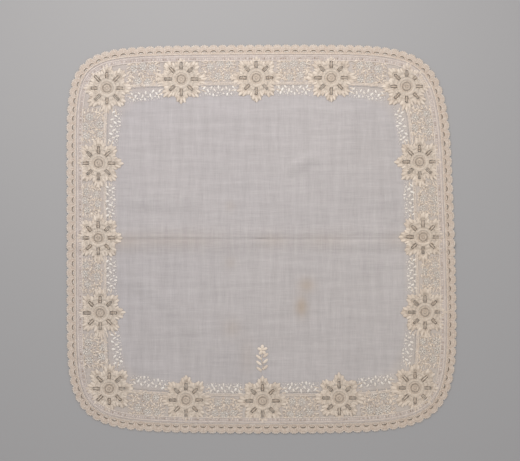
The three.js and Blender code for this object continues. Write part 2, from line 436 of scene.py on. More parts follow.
def smooth_but_for_rims(mesh: bpy.types.Mesh) -> None:
    """Shades a thin sheet smooth, with its rims left sharp."""
    mesh.polygons.foreach_set("use_smooth", np.ones(len(mesh.polygons), dtype=bool))
    mesh.set_sharp_from_angle(angle=math.radians(50))


def pierced(sheet: Piece, cutter: Piece) -> Piece:
    """Cuts one piece out of another.

    Args:
        sheet: What is cut.
        cutter: What is taken out of it; it is removed.

    Returns:
        The sheet.
    """
    cut = sheet.modifiers.new("openings", "BOOLEAN")
    cut.object = cutter
    cut.operation = "DIFFERENCE"
    cut.solver = "MANIFOLD"
    bpy.context.view_layer.update()
    evaluated = sheet.evaluated_get(bpy.context.evaluated_depsgraph_get())
    cut_mesh = bpy.data.meshes.new_from_object(evaluated)
    sheet.modifiers.clear()
    sheet.data = cut_mesh
    cut_mesh.name = sheet.name
    cut_mesh.materials.clear()
    bpy.data.objects.remove(cutter)
    return sheet


# Small shapes that are made once and set down many times


class Motif:
    """A small closed shape, 1 long, 1 wide and 1 high unless it says otherwise."""

    def __init__(self, bm: Shape) -> None:
        """Keeps the points and the faces of a shape, with its faces pointing outwards.

        Args:
            bm: The shape, which is freed.
        """
        bmesh.ops.recalc_face_normals(bm, faces=bm.faces[:])
        bm.verts.index_update()
        self.points = np.array([vert.co[:] for vert in bm.verts])
        self.corners = np.array([vert.index for face in bm.faces for vert in face.verts], dtype=np.int64)
        self.sizes = np.array([len(face.verts) for face in bm.faces], dtype=np.int64)
        bm.free()


def strand_motif(sides: int = 3, radius: float = 0.57, end_width: float = 0.72, end_height: float = 0.6,
                 end_drop: float = 0.22) -> Motif:
    """A single stitch of thread, flat below and arched from end to end.

    Args:
        sides: How many sides the thread has.
        radius: Its radius.
        end_width: How wide its ends are, as a share of its middle.
        end_height: How high its ends are, as a share of its middle.
        end_drop: How far its ends sink.

    Returns:
        The motif.
    """
    bm = bmesh.new()
    bmesh.ops.create_cone(bm, cap_ends=True, segments=sides, radius1=radius, radius2=radius, depth=1.0)
    bmesh.ops.rotate(bm, matrix=Matrix.Rotation(-math.pi / 2, 3, "Y"), verts=bm.verts[:])
    bmesh.ops.bisect_plane(bm, geom=whole(bm), plane_co=(0, 0, 0), plane_no=(1, 0, 0))
    ends = [vert for vert in bm.verts if abs(vert.co.x) > 0.25]
    bmesh.ops.scale(bm, vec=(1, end_width, end_height), verts=ends)
    bmesh.ops.translate(bm, vec=(0, 0, -end_drop), verts=ends)
    return Motif(bm)


def ball(around: int, lengthwise: int) -> Shape:
    """A ball, 1 across, with its poles at both ends of the X axis.

    Args:
        around: How many faces lie round the axis.
        lengthwise: How many faces lie from pole to pole.

    Returns:
        The ball.
    """
    bm = bmesh.new()
    bmesh.ops.create_uvsphere(bm, u_segments=around, v_segments=lengthwise, radius=0.5)
    bmesh.ops.rotate(bm, matrix=Matrix.Rotation(math.pi / 2, 3, "Y"), verts=bm.verts[:])
    return bm


def leaf_motif(threads: int = 30, groove: float = 0.88, sunk: float = -0.3) -> Motif:
    """A padded satin-stitch leaf, with its threads lying across.

    Args:
        threads: How many threads and grooves lie side by side along the leaf.
        groove: How far the leaf is drawn in at a groove, as a share of its size.
        sunk: The height of its flat underside.

    Returns:
        The motif.
    """
    bm = ball(8, 9)
    for vert in bm.verts:
        size = groove if round((vert.co.x + 0.5) * threads) % 2 else 1.0
        vert.co.y *= size
        vert.co.z = max(vert.co.z * size, sunk)
    return Motif(bm)


def feather_motif() -> Motif:
    """A slender leaflet, with its base at the origin.

    Returns:
        The motif.
    """
    bm = ball(6, 6)
    bmesh.ops.translate(bm, vec=(0.5, 0, 0), verts=bm.verts[:])
    return Motif(bm)


def dot_motif(subdivisions: int = 2) -> Motif:
    """A padded dot.

    Args:
        subdivisions: How fine its surface is.

    Returns:
        The motif.
    """
    bm = bmesh.new()
    bmesh.ops.create_icosphere(bm, subdivisions=subdivisions, radius=0.5)
    return Motif(bm)


def eyelet_motif(thickness: float = 0.17, steps: int = 10) -> Motif:
    """The overcast rim of an eyelet: a ring, 1 across its middle line.

    Args:
        thickness: Half the width of the rim.
        steps: How many faces lie round the ring.

    Returns:
        The motif.
    """
    bm = bmesh.new()
    section = bmesh.ops.create_circle(bm, cap_ends=False, segments=4, radius=thickness)["verts"]
    bmesh.ops.rotate(bm, matrix=Matrix.Rotation(math.pi / 2, 3, "X"), verts=section)
    bmesh.ops.translate(bm, vec=(0.5, 0, 0), verts=section)
    profile = bm.verts[:] + bm.edges[:]
    bmesh.ops.spin(
        bm, geom=profile, cent=(0, 0, 0), axis=(0, 0, 1), angle=2 * math.pi, steps=steps, use_merge=True
    )
    return Motif(bm)


STRAND = strand_motif()
LEAF = leaf_motif()
DOT = dot_motif()
EYELET = eyelet_motif()
PICOT = dot_motif(1)
FEATHER = feather_motif()

# How brown stitches may be, as ranges: -1 is brown thread that stands for the shadow in the depth of an
# opening, which is painted shade, and 1 is the palest thread.
FRESH = (0.0, 1.0)
# Painted shade: a little browner thread for the spokes across the wheel's shadowed open ring.
SHADED = (-0.35, 0.1)
# Painted shade: brown thread for the threads and bars that lie in the shadow of the openings.
DEEP_SHADE = (-0.65, -0.1)
# Painted shade: the brownest thread, round the inside of the lace holes where their shadow lies.
DARKEST_SHADE = (-1.0, -0.6)
# Random tone from brown to pale. Among the grains of the ground its brown copies are painted shade, dark
# specks for small shadowed holes; on the hem they make a darker dotted row.
MIXED = (-0.9, 1.0)
# Painted shade: darker copies for the lobes and leaflets, which catch more of the lamp.
PAINTED_DIMMER = (-0.1, 0.7)
# Painted light: paler copies for the satin body round the wheel, to make up for the shade in its grooves.
PAINTED_PALER = (0.6, 1.0)


@dataclass(frozen=True)
class Stitch:
    """One kind of stitch: its shape, the height of its middle and its size.

    The slack is how far copies stray in place and size, as a share of their width. The shades are the
    brownest and the palest that a copy may have.
    """

    motif: Motif
    z: float = 0.0
    length: float = 1.0
    width: float = 1.0
    height: float = 1.0
    slack: float = 0.05
    shades: Shades = FRESH


def prism(outline: Points, height: float = 6.0) -> Stitch:
    """An upright prism over an outline, reaching below and above the cloth, to cut with."""
    return Stitch(Motif(plate_of([outline], -height / 2, height / 2)), slack=0)


# Needlework


class Needlework:
    """Many stitches that are worked up into one piece.

    The turning is how much of its slack a copy strays in direction, in radians.
    """

    turning: float = 0.8

    def __init__(self, name: str, seed: int = 1) -> None:
        """Starts a piece of needlework.

        Args:
            name: The name of the piece.
            seed: Fixes the small irregularities of the hand.
        """
        self.name = name
        self.hand = np.random.default_rng(seed)
        self.points: list[Points] = []
        self.corners: list[Points] = []
        self.sizes: list[Points] = []
        self.shades: list[Points] = []
        self.count = 0

    def sew(self, stitch: Stitch, x: Numbers, y: Numbers, turn: Numbers = 0.0,
            length: Numbers | None = None, width: Numbers | None = None) -> None:
        """Sets copies of a stitch down. A number that stands alone holds for all of them.

        Args:
            stitch: The kind of stitch.
            x: Where the middle of each copy goes, across.
            y: Where it goes, upwards.
            turn: The direction of each copy, in radians.
            length: The length of each copy, where it isn't the stitch's own.
            width: The width of each copy, where it isn't the stitch's own.
        """
        length = stitch.length if length is None else length
        width = stitch.width if width is None else width
        x, y, turn, length, width = np.broadcast_arrays(*np.atleast_1d(x, y, turn, length, width))
        copies = len(x)
        stray = self.hand.normal(0, stitch.slack, (5, copies))
        height = np.full(copies, stitch.height)
        size = np.stack([length * (1 + stray[0]), width * (1 + stray[1]), height], axis=1)
        local = stitch.motif.points[None, :, :] * size[:, None, :]
        turn = turn + stray[2] * self.turning
        c, s = np.cos(turn)[:, None], np.sin(turn)[:, None]
        across = c * local[:, :, 0] - s * local[:, :, 1] + (x + stray[3] * width)[:, None]
        upward = s * local[:, :, 0] + c * local[:, :, 1] + (y + stray[4] * width)[:, None]
        points = np.stack([across, upward, local[:, :, 2] + stitch.z], axis=2)
        each = points.shape[1]
        firsts = self.count + np.arange(copies)[:, None] * each
        self.points.append(points.reshape(-1, 3))
        self.corners.append((stitch.motif.corners[None, :] + firsts).ravel())
        self.sizes.append(np.tile(stitch.motif.sizes, copies))
        self.shades.append(np.repeat(self.hand.uniform(*stitch.shades, copies), each))
        self.count += copies * each

    def take(self, other: "Needlework") -> None:
        """Takes over what another piece of needlework holds.

        Args:
            other: The other piece, which isn't finished.
        """
        self.points += other.points
        self.sizes += other.sizes
        self.shades += other.shades
        self.corners += [corners + self.count for corners in other.corners]
        self.count += other.count

    def turn_to(self, x: float, y: float, turn: float) -> None:
        """Turns all of it about the origin and moves it.

        Args:
            x: How far it moves across.
            y: How far it moves upwards.
            turn: How far it turns first, in radians.
        """
        c, s = math.cos(turn), math.sin(turn)
        about = np.array([[c, s, 0], [-s, c, 0], [0, 0, 1]])
        self.points = [points @ about + (x, y, 0) for points in self.points]

    def finish(self, warp: Warp) -> Piece:
        """Makes the piece.

        Args:
            warp: Lays the flat points, in millimetres, where they belong on the cloth.

        Returns:
            The piece, in metres.
        """
        points = warp(np.concatenate(self.points)) * MM
        corners = np.concatenate(self.corners)
        sizes = np.concatenate(self.sizes)
        mesh = bpy.data.meshes.new(self.name)
        mesh.vertices.add(len(points))
        mesh.vertices.foreach_set("co", points.ravel())
        mesh.loops.add(len(corners))
        mesh.loops.foreach_set("vertex_index", corners)
        mesh.polygons.add(len(sizes))
        mesh.polygons.foreach_set("loop_start", np.concatenate([[0], np.cumsum(sizes)[:-1]]))
        mesh.polygons.foreach_set("use_smooth", np.ones(len(sizes), dtype=bool))
        mesh.attributes.new("shade", "FLOAT", "POINT").data.foreach_set("value", np.concatenate(self.shades))
        mesh.update(calc_edges=True)
        return piece_of(mesh)


def walk(path: Points, count: int, closed: bool = False) -> tuple[Points, Points, Points]:
    """Evenly spaced places along a path.

    Args:
        path: The path's points, one row each.
        count: How many places.
        closed: Whether the path returns to its start.

    Returns:
        The places' x, their y and the direction of the path at each.
    """
    points = np.vstack([path, path[:1]]) if closed else path
    steps = np.hypot(*np.diff(points, axis=0).T)
    walked = np.concatenate([[0], np.cumsum(steps)])
    stops = (np.arange(count) + 0.5) * walked[-1] / count
    x, y = (np.interp(stops, walked, points[:, k]) for k in (0, 1))
    part = np.clip(np.searchsorted(walked, stops) - 1, 0, len(steps) - 1)
    along = np.diff(points, axis=0)[part]
    return x, y, np.arctan2(along[:, 1], along[:, 0])


def path_length(path: Points) -> float:
    """The length of an open path."""
    return float(np.hypot(*np.diff(path, axis=0).T).sum())


def walk_by(path: Points, pitch: float, closed: bool = False,
            fewest: int = 3) -> tuple[Points, Points, Points]:
    """Evenly spaced places along a path, about a pitch apart.

    Args:
        path: The path's points, one row each.
        pitch: The distance from one place to the next.
        closed: Whether the path returns to its start.
        fewest: How many places there are at least.

    Returns:
        The places' x, their y and the direction of the path at each.
    """
    length = path_length(np.vstack([path, path[:1]]) if closed else path)
    return walk(path, max(fewest, round(length / pitch)), closed)


def all_round(count: int, from_start: float = 0.0) -> Points:
    """Evenly spaced directions, in radians, the first a share of a step from 0."""
    return (np.arange(count) + from_start) * 2 * math.pi / count


def polar(reach: Numbers, turns: Points) -> Points:
    """Places at distances and directions from the origin, one row each."""
    return np.stack([reach * np.cos(turns), reach * np.sin(turns)], axis=1)


def circle(radius: float, count: int) -> Points:
    """The points of a circle, anticlockwise."""
    return polar(radius, all_round(count))


def turned(points: Points, turn: float) -> Points:
    """Points of the plane, turned about the origin."""
    c, s = math.cos(turn), math.sin(turn)
    return points @ np.array([[c, s], [-s, c]])


def smooth_path(knots: Sequence[tuple[float, float]], count: int) -> Points:
    """A smooth path through a few points, as a Catmull-Rom curve.

    Args:
        knots: The points that it goes through.
        count: How many points each stretch between two of them gets.

    Returns:
        The points of the path, one row each.
    """
    given = np.array(knots, dtype=float)
    padded = np.vstack([2 * given[0] - given[1], given, 2 * given[-1] - given[-2]])
    rows = []
    for k in range(len(given) - 1):
        before, start, end, after = padded[k : k + 4]
        t = np.linspace(0, 1, count, endpoint=k == len(given) - 2)[:, None]
        rise = (end - before) * t
        bend = (2 * before - 5 * start + 4 * end - after) * t**2
        swing = (3 * start - before - 3 * end + after) * t**3
        rows.append(0.5 * (2 * start + rise + bend + swing))
    return np.vstack(rows)


@dataclass(frozen=True)
class Cord:
    """A twisted cord, or a row of stem stitch: how far apart its stitches lie, its width and its height.

    The twist is how far each stitch turns from the line, in radians.
    """

    pitch: float
    width: float
    z: float
    twist: float = 0.35
    overlap: float = 1.75
    slimness: float = 0.86
    flatness: float = 0.8

    def work(self, work: Needlework, path: Points, closed: bool = False) -> None:
        """Works the cord along a path.

        Args:
            work: The needlework it belongs to.
            path: The line to follow.
            closed: Whether the path returns to its start.
        """
        x, y, turn = walk_by(path, self.pitch, closed)
        width, height = self.width * self.slimness, self.width * self.flatness
        work.sew(Stitch(STRAND, self.z, self.pitch * self.overlap, width, height), x, y, turn + self.twist)


@dataclass(frozen=True)
class Overcast:
    """Short stitches side by side across a closed line, reaching out to the right of its direction."""

    pitch: float
    reach: float
    z: float
    height: float
    overlap: float = 1.12
    fullness: float = 1.25

    def work(self, work: Needlework, path: Points) -> None:
        """Works the stitches.

        Args:
            work: The needlework they belong to.
            path: The line that they start from.
        """
        x, y, turn = walk_by(path, self.pitch, closed=True)
        out = turn - math.pi / 2
        places = np.stack([x, y]) + polar(self.reach / 2, out).T
        stitch = Stitch(STRAND, self.z, self.reach * self.overlap, self.pitch * self.fullness, self.height)
        work.sew(stitch, *places, out)


# Finishes


class Shade:
    """A value in a material, on which arithmetic adds Math nodes."""

    def __init__(self, nodes: "Nodes", socket: bpy.types.NodeSocket) -> None:
        """Wraps an output socket of the given nodes."""
        self.nodes = nodes
        self.socket = socket

    def _maths(self, operation: str, first: object, second: object = 0.0) -> "Shade":
        """Adds one Math node."""
        made = self.nodes.add("ShaderNodeMath", {"operation": operation}, {0: first, 1: second})
        return Shade(self.nodes, made.outputs[0])

    def __add__(self, other: object) -> "Shade":
        """The sum."""
        return self._maths("ADD", self, other)

    def __sub__(self, other: object) -> "Shade":
        """The difference."""
        return self._maths("SUBTRACT", self, other)

    def __rsub__(self, other: object) -> "Shade":
        """The difference, from the other."""
        return self._maths("SUBTRACT", other, self)

    def __mul__(self, other: object) -> "Shade":
        """The product."""
        return self._maths("MULTIPLY", self, other)

    __radd__ = __add__
    __rmul__ = __mul__


class Nodes:
    """The nodes of one material, with its surface shader."""

    def __init__(self, name: str) -> None:
        """Starts a material that holds only its surface shader and output.

        Args:
            name: The name of the material.
        """
        self.material = bpy.data.materials.new(name)
        self.material.use_nodes = True
        self.tree = self.material.node_tree
        self.tree.nodes.clear()
        self.surface = self.add("ShaderNodeBsdfPrincipled", {}, {})
        output = self.add("ShaderNodeOutputMaterial", {}, {})
        self.tree.links.new(self.surface.outputs[0], output.inputs["Surface"])

    def add(self, kind: str, settings: dict[str, object], sockets: dict[str | int, object]) -> bpy.types.Node:
        """Adds a node.

        Args:
            kind: The node's type.
            settings: Its settings, set first. "stops" are the places and colours of a colour ramp.
            sockets: Values or links for its input sockets, by name or number.

        Returns:
            The node.
        """
        node = self.tree.nodes.new(kind)
        for name, value in settings.items():
            if name == "stops":
                self._set_stops(node.color_ramp, value)
            else:
                setattr(node, name, value)
        self.feed(node, sockets)
        return node

    def feed(self, node: bpy.types.Node, sockets: dict[str | int, object]) -> None:
        """Sets or links the input sockets of a node.

        Args:
            node: The node.
            sockets: Values or links for its input sockets, by name or number.
        """
        for name, value in sockets.items():
            if isinstance(value, Shade):
                self.tree.links.new(value.socket, node.inputs[name])
            else:
                node.inputs[name].default_value = value

    @staticmethod
    def _set_stops(ramp: bpy.types.ColorRamp, stops: Sequence[tuple[float, Colour]]) -> None:
        """Gives a colour ramp its stops.

        Args:
            ramp: The ramp.
            stops: The place and the colour of each stop.
        """
        while len(ramp.elements) < len(stops):
            ramp.elements.new(0.5)
        for element, (place, colour) in zip(ramp.elements, stops):
            element.position = place
            element.color = colour

    def out(self, kind: str, settings: dict[str, object], sockets: dict[str | int, object],
            name: str | int = 0) -> Shade:
        """Adds a node and gives one of its outputs."""
        return Shade(self, self.add(kind, settings, sockets).outputs[name])

    def place(self, scale: tuple[float, float, float] = (1, 1, 1), turn: float = 0.0) -> Shade:
        """The place on the piece, in metres, stretched and turned."""
        here = self.out("ShaderNodeTexCoord", {}, {}, "Object")
        return self.out("ShaderNodeMapping", {}, {"Vector": here, "Scale": scale, "Rotation": (0, 0, turn)})

    def noise(self, scale: tuple[float, float, float], detail: float = 2.0, turn: float = 0.0,
              rough: float = 0.55) -> Shade:
        """Soft irregular variation, from 0 to 1.

        Args:
            scale: How many times it varies in a metre, along each axis.
            detail: How much finer variation lies on it.
            turn: Turns it about the upright axis.
            rough: How strong the finer variation is.

        Returns:
            The variation.
        """
        sockets = {"Vector": self.place(scale, turn), "Scale": 1.0, "Detail": detail, "Roughness": rough}
        return self.out("ShaderNodeTexNoise", {}, sockets)

    def attribute(self, name: str) -> Shade:
        """A number that the mesh holds at its points."""
        return self.out("ShaderNodeAttribute", {"attribute_name": name}, {}, "Fac")

    def ramp(self, value: Shade, stops: Sequence[tuple[float, Colour]]) -> Shade:
        """A colour for each value, by stops."""
        return self.out("ShaderNodeValToRGB", {"stops": stops}, {"Fac": value})

    def spread(self, value: Shade, low: float, high: float, to_low: float = 0.0,
               to_high: float = 1.0) -> Shade:
        """The value, moved from one range to another and held inside it."""
        sockets = {"Value": value, "From Min": low, "From Max": high, "To Min": to_low, "To Max": to_high}
        return self.out("ShaderNodeMapRange", {}, sockets)

    def mix(self, share: Shade | float, first: object, second: object, blend: str = "MIX") -> Shade:
        """Two colours, mixed."""
        settings = {"data_type": "RGBA", "blend_type": blend}
        return self.out("ShaderNodeMix", settings, {0: share, 6: first, 7: second}, 2)

    def bump(self, height: Shade, distance: float, strength: float = 1.0) -> Shade:
        """Fine relief, by a height from 0 to 1 over a distance in metres."""
        return self.out("ShaderNodeBump", {}, {"Height": height, "Distance": distance, "Strength": strength})


def colour(red: int, green: int, blue: int) -> Colour:
    """Turns a colour as seen into one for a socket.

    Args:
        red: How red it is, from 0 to 255.
        green: How green it is.
        blue: How blue it is.

    Returns:
        The colour, in linear light and opaque.
    """
    shares = [channel / 255 for channel in (red, green, blue)]
    linear = [share / 12.92 if share <= 0.04045 else ((share + 0.055) / 1.055) ** 2.4 for share in shares]
    return (*linear, 1.0)


@dataclass(frozen=True)
class PlaceTint:
    """A tint that turns warmer from the cloth's upper left to its lower right, in soft patches; where the
    lower right is also paler, as on the linen, that is painted light against the lamp's falloff.
    """

    upper_left_tint: Colour = colour(252, 249, 246)
    lower_right_tint: Colour = colour(255, 249, 241)
    across: float = 1.5
    upward: float = -1.0
    patches: int = 9
    patchiness: float = 0.5
    reach: float = 0.5

    def lay_over(self, nodes: Nodes, base: Shade) -> Shade:
        """Tints a colour by where it lies on the cloth.

        Args:
            nodes: The nodes of the material.
            base: The colour.

        Returns:
            The tinted colour.
        """
        parts = nodes.add("ShaderNodeSeparateXYZ", {}, {0: nodes.place()})
        across, upward = Shade(nodes, parts.outputs[0]), Shade(nodes, parts.outputs[1])
        slope = across * self.across + upward * self.upward
        uneven = nodes.noise((self.patches,) * 3, 3)
        share = nodes.spread(slope + (uneven - 0.5) * self.patchiness, -self.reach, self.reach)
        return nodes.mix(1.0, base, nodes.mix(share, self.upper_left_tint, self.lower_right_tint), "MULTIPLY")


@dataclass(frozen=True)
class LinenFinish:
    """Fine sheer linen, woven with uneven threads, with yellowed soil, a creamier border and painted light: a
    tint that is paler towards its lower right, away from the lamp.

    The scales of threads and of bands are how many times they vary in a metre, across and lengthwise.
    """

    name: str
    light: Colour = colour(246, 241, 241)
    dark: Colour = colour(226, 220, 219)
    soiled: Colour = colour(214, 194, 172)
    bordered: Colour = colour(240, 227, 214)
    border_share: float = 0.7
    # Painted light: darker and cooler at the upper left, near the lamp, paler and warmer at the lower right.
    age: PlaceTint = PlaceTint(colour(242, 240, 242), colour(254, 251, 247))
    cover: float = 0.45
    thinner: float = 0.09
    closer: float = 0.13
    slubs: float = 0.55
    threads: tuple[int, int] = (900, 60)
    bands: tuple[int, int] = (160, 14)
    fibres: tuple[int, int, int] = (2600, 2600, 400)
    weave_range: tuple[float, float] = (0.7, 1.3)
    relief: float = 0.00012
    roughness: float = 0.88
    sheen: float = 0.15

    def _woven(self, nodes: Nodes, scales: tuple[int, int], detail: float, rough: float = 0.55) -> Shade:
        """Two lengthwise patterns that cross each other, added up.

        Args:
            nodes: The nodes of the material.
            scales: How many times they vary in a metre, across and lengthwise.
            detail: How much finer variation lies on them.
            rough: How strong the finer variation is.

        Returns:
            Their sum, from 0 to 2.
        """
        across, lengthwise = scales
        warp = nodes.noise((lengthwise, across, lengthwise), detail, rough=rough)
        weft = nodes.noise((across, lengthwise, lengthwise), detail, rough=rough)
        return warp + weft

    def build(self) -> Finish:
        """Makes the material.

        Returns:
            The material, ready to give to a piece.
        """
        nodes = Nodes(self.name)
        threads = self._woven(nodes, self.threads, 4, 0.7)
        bands = self._woven(nodes, self.bands, 2)
        weave = nodes.spread(threads * self.slubs + bands * (1 - self.slubs), *self.weave_range)
        soil = nodes.attribute("soil")
        border = nodes.attribute("border") * self.border_share
        cloth = nodes.mix(border, nodes.mix(weave, self.dark, self.light), self.bordered)
        tinted = self.age.lay_over(nodes, nodes.mix(soil, cloth, self.soiled))
        fibres = nodes.noise(self.fibres, 1)
        thinnest, closest = self.cover - self.thinner, self.cover + self.closer
        nodes.feed(nodes.surface, {
            "Base Color": tinted,
            "Roughness": self.roughness,
            "Alpha": nodes.spread(weave + soil + border, 0.0, 1.4, thinnest, closest),
            "Normal": nodes.bump(weave * 0.5 + fibres * 0.5, self.relief, 0.5),
            "Sheen Weight": self.sheen,
        })
        return nodes.material


@dataclass(frozen=True)
class ThreadFinish:
    """Cotton thread, a little different from stitch to stitch; stitches whose shade is below 0 are mixed
    towards a brown that is painted shade.
    """

    name: str
    light: Colour
    dark: Colour
    # Painted shade: the brown for stitches that stand in the shadow of openings and holes.
    shade_brown: Colour = colour(158, 134, 112)
    wear: int = 240
    shade_share: float = 0.6
    plies: tuple[int, int, int] = (5200, 5200, 2600)
    ply_turn: float = 0.6
    relief: float = 0.00008
    gloss: float = 0.62
    glossier: float = 0.06
    duller: float = 0.12
    sheen: float = 0.25
    sheen_roughness: float = 0.4

    def build(self) -> Finish:
        """Makes the material.

        Returns:
            The material, ready to give to a piece.
        """
        nodes = Nodes(self.name)
        worn = nodes.noise((self.wear,) * 3, 3)
        shade = nodes.attribute("shade")
        share = nodes.spread(shade * self.shade_share + worn * (1 - self.shade_share), 0.1, 0.8)
        # Shades below 0 mix the thread towards brown: painted shade.
        thread = nodes.mix(nodes.spread(shade, -1, 0), self.shade_brown, nodes.mix(share, self.dark, self.light))
        tinted = PlaceTint().lay_over(nodes, thread)
        plies = nodes.noise(self.plies, 1, turn=self.ply_turn)
        nodes.feed(nodes.surface, {
            "Base Color": tinted,
            "Roughness": nodes.spread(worn, 0, 1, self.gloss - self.glossier, self.gloss + self.duller),
            "Normal": nodes.bump(plies, self.relief, 0.5),
            "Sheen Weight": self.sheen,
            "Sheen Roughness": self.sheen_roughness,
        })
        return nodes.material


@dataclass(frozen=True)
class FloorFinish:
    """The plain pale surface that the cloth lies on."""

    name: str = "pale_floor"
    tone: Colour = colour(176, 174, 174)
    faintest: float = 0.97
    roughness: float = 0.95

    def build(self) -> Finish:
        """Makes the material.

        Returns:
            The material, ready to give to a piece.
        """
        nodes = Nodes(self.name)
        stops = [(0, (*(self.faintest,) * 3, 1)), (1, (1, 1, 1, 1))]
        soft = nodes.ramp(nodes.noise((3, 3, 3), 3), stops)
        shaded = nodes.mix(1.0, self.tone, soft, "MULTIPLY")
        nodes.feed(nodes.surface, {"Base Color": shaded, "Roughness": self.roughness})
        return nodes.material


class Slot(Enum):
    """The record's material slots."""

    LINEN = "linen"
    LACE = "lace"


def dress(piece: Piece, finish: Finish) -> Piece:
    """Gives a piece its finish and lets it ride with the cloth.

    Args:
        piece: The piece.
        finish: Its material.

    Returns:
        The piece.
    """
    piece.data.materials.append(finish)
    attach(piece, BODY)
    log.info("%s: %d faces", piece.name, len(piece.data.polygons))
    return piece


# Embroidered medallions


class Filling(Enum):
    """How an opening is filled with needle-made bars: where the first and the last lie, and their number."""

    LADDER = (0.14, 0.78, 5)
    NET = (0.12, 0.82, 7)
    TWIN = (0.18, 0.76, 4)


@dataclass
class Medallion:
    """A large eight-lobed flower in satin stitch, round an open wheel and eight leaf-shaped openings."""

    name: str
    x: float
    y: float
    facing: float
    seed: int
    lobe_reach: tuple[float, ...] = (25.6, 25.4, 26.2, 25.0, 22.4, 25.0, 26.2, 25.4)
    shoulder_drop: float = 2.2
    shoulder_turn: float = math.radians(11)
    valley: float = 18.2
    body_inset: float = 1.3
    body_most: float = 24.0
    body_points: int = 192
    plate_bottom: float = 0.5
    plate_top: float = 0.8
    plate_step: float = 3.0

    opening_start: float = 9.6
    opening_lengths: tuple[float, float] = (8.3, 7.3)
    opening_width: float = 4.7
    opening_rim: Overcast = Overcast(pitch=0.72, reach=1.0, z=0.94, height=0.5)
    threads_across: tuple[float, ...] = (-0.38, -0.13, 0.13, 0.38)
    threads_along: tuple[float, ...] = (0.86, 1.0, 1.0, 0.86)
    # The threads and bars in the openings are brown: painted shade for the shadow seen through them.
    thread: Stitch = Stitch(STRAND, z=0.64, width=0.8, height=0.4, slack=0.03, shades=DEEP_SHADE)
    bar: Stitch = Stitch(STRAND, z=0.72, width=0.6, height=0.4, shades=DEEP_SHADE)
    bar_lean: float = 0.5
    rung: Stitch = Stitch(STRAND, z=0.72, width=0.6, height=0.36, shades=DEEP_SHADE)
    rib: Stitch = Stitch(STRAND, z=0.8, width=1.1, height=0.6)
    twin_rib: Stitch = Stitch(STRAND, z=0.8, width=0.75, height=0.6)
    twin_apart: float = 1.3
    knot: Stitch = Stitch(PICOT, z=0.85, length=1.3, width=1.3, height=0.8)

    wheel_outer: float = 4.7
    wheel_points: int = 24
    wheel_rings: tuple[float, ...] = (0.6, 2.2, 3.05)
    wheel_rim: Overcast = Overcast(pitch=0.62, reach=1.3, z=0.9, height=0.55)
    ring: Cord = Cord(pitch=0.8, width=0.95, z=0.8)
    spokes: int = 28
    # The spokes are a little browned: painted shade for the wheel's shadowed open ring.
    spoke: Stitch = Stitch(STRAND, z=0.76, width=0.8, height=0.4, slack=0.02, shades=SHADED)
    near_spoke: Stitch = Stitch(STRAND, z=0.72, width=0.66, height=0.4, slack=0.02, shades=SHADED)

    collar_reach: float = 8.0
    collar_stitches: int = 60
    # The collar and the fans use paler copies: painted light against the shade in the body's grooves.
    collar: Stitch = Stitch(STRAND, z=0.86, length=3.9, height=0.33, shades=PAINTED_PALER)
    fans: tuple[tuple[float, float, int], ...] = ((11.4, 0.19, 6), (15.4, 0.26, 10))
    fan: Stitch = Stitch(STRAND, z=0.87, length=4.6, height=0.33, shades=PAINTED_PALER)
    lobe_stitches: int = 22
    # The lobes and leaflets use darker copies: painted shade, as they catch more of the lamp.
    lobe: Stitch = Stitch(STRAND, z=0.88, width=1.1, height=0.33, shades=PAINTED_DIMMER)
    leaflets: int = 5
    leaflet_span: float = 0.43
    leaflet_length: float = 6.0
    leaflet: Stitch = Stitch(FEATHER, z=0.8, width=2.9, height=0.5, shades=PAINTED_DIMMER)

    @property
    def lobes(self) -> int:
        """How many lobes the flower has."""
        return len(self.lobe_reach)

    @property
    def sector(self) -> float:
        """The angle from one lobe to the next."""
        return 2 * math.pi / self.lobes

    def reach(self, turn: Points) -> Points:
        """How far the flower reaches, without its teeth.

        Args:
            turn: Directions, from that of its facing lobe.

        Returns:
            Its reach in each direction.
        """
        turns, reaches = [], []
        for k, tip in enumerate((*self.lobe_reach, self.lobe_reach[0])):
            offsets = (-self.sector / 2, -self.shoulder_turn, 0, self.shoulder_turn)
            turns += [k * self.sector + offset for offset in offsets]
            reaches += [self.valley, tip - self.shoulder_drop, tip, tip - self.shoulder_drop]
        return np.interp(np.mod(turn, 2 * math.pi), turns, reaches)

    def body(self, turn: Points) -> Points:
        """How far the close body of the flower reaches, inside its leaflets."""
        return np.minimum(self.reach(turn) - self.body_inset, self.body_most)

    def leaf(self, length: float) -> Points:
        """The outline of a leaf-shaped opening that points along +X.

        Args:
            length: The length of the opening.

        Returns:
            Its points, anticlockwise, one row each.
        """
        shares = np.array([0, 0.18, 0.42, 0.62, 0.8, 0.93, 1])
        halves = np.array([0.72, 0.97, 1, 0.95, 0.82, 0.52, 0]) * self.opening_width / 2
        out = self.opening_start + shares * length
        lower = np.stack([out, -halves], axis=1)
        upper = np.stack([out, halves], axis=1)[::-1]
        return np.vstack([lower, upper[1:]])

    def opening_length(self, k: int) -> float:
        """The length of the opening in a lobe."""
        return self.opening_lengths[k % 2]

    def cut(self, cutter: Needlework) -> None:
        """Marks the openings of the flower for cutting out of the cloth.

        Args:
            cutter: What the openings are added to.
        """
        for length in self.opening_lengths:
            alike = [k * self.sector for k in range(self.lobes) if self.opening_length(k) == length]
            cutter.sew(prism(self.leaf(length)), self.x, self.y, np.array(alike) + self.facing)
        cutter.sew(prism(circle(self.wheel_outer, self.wheel_points)), self.x, self.y)

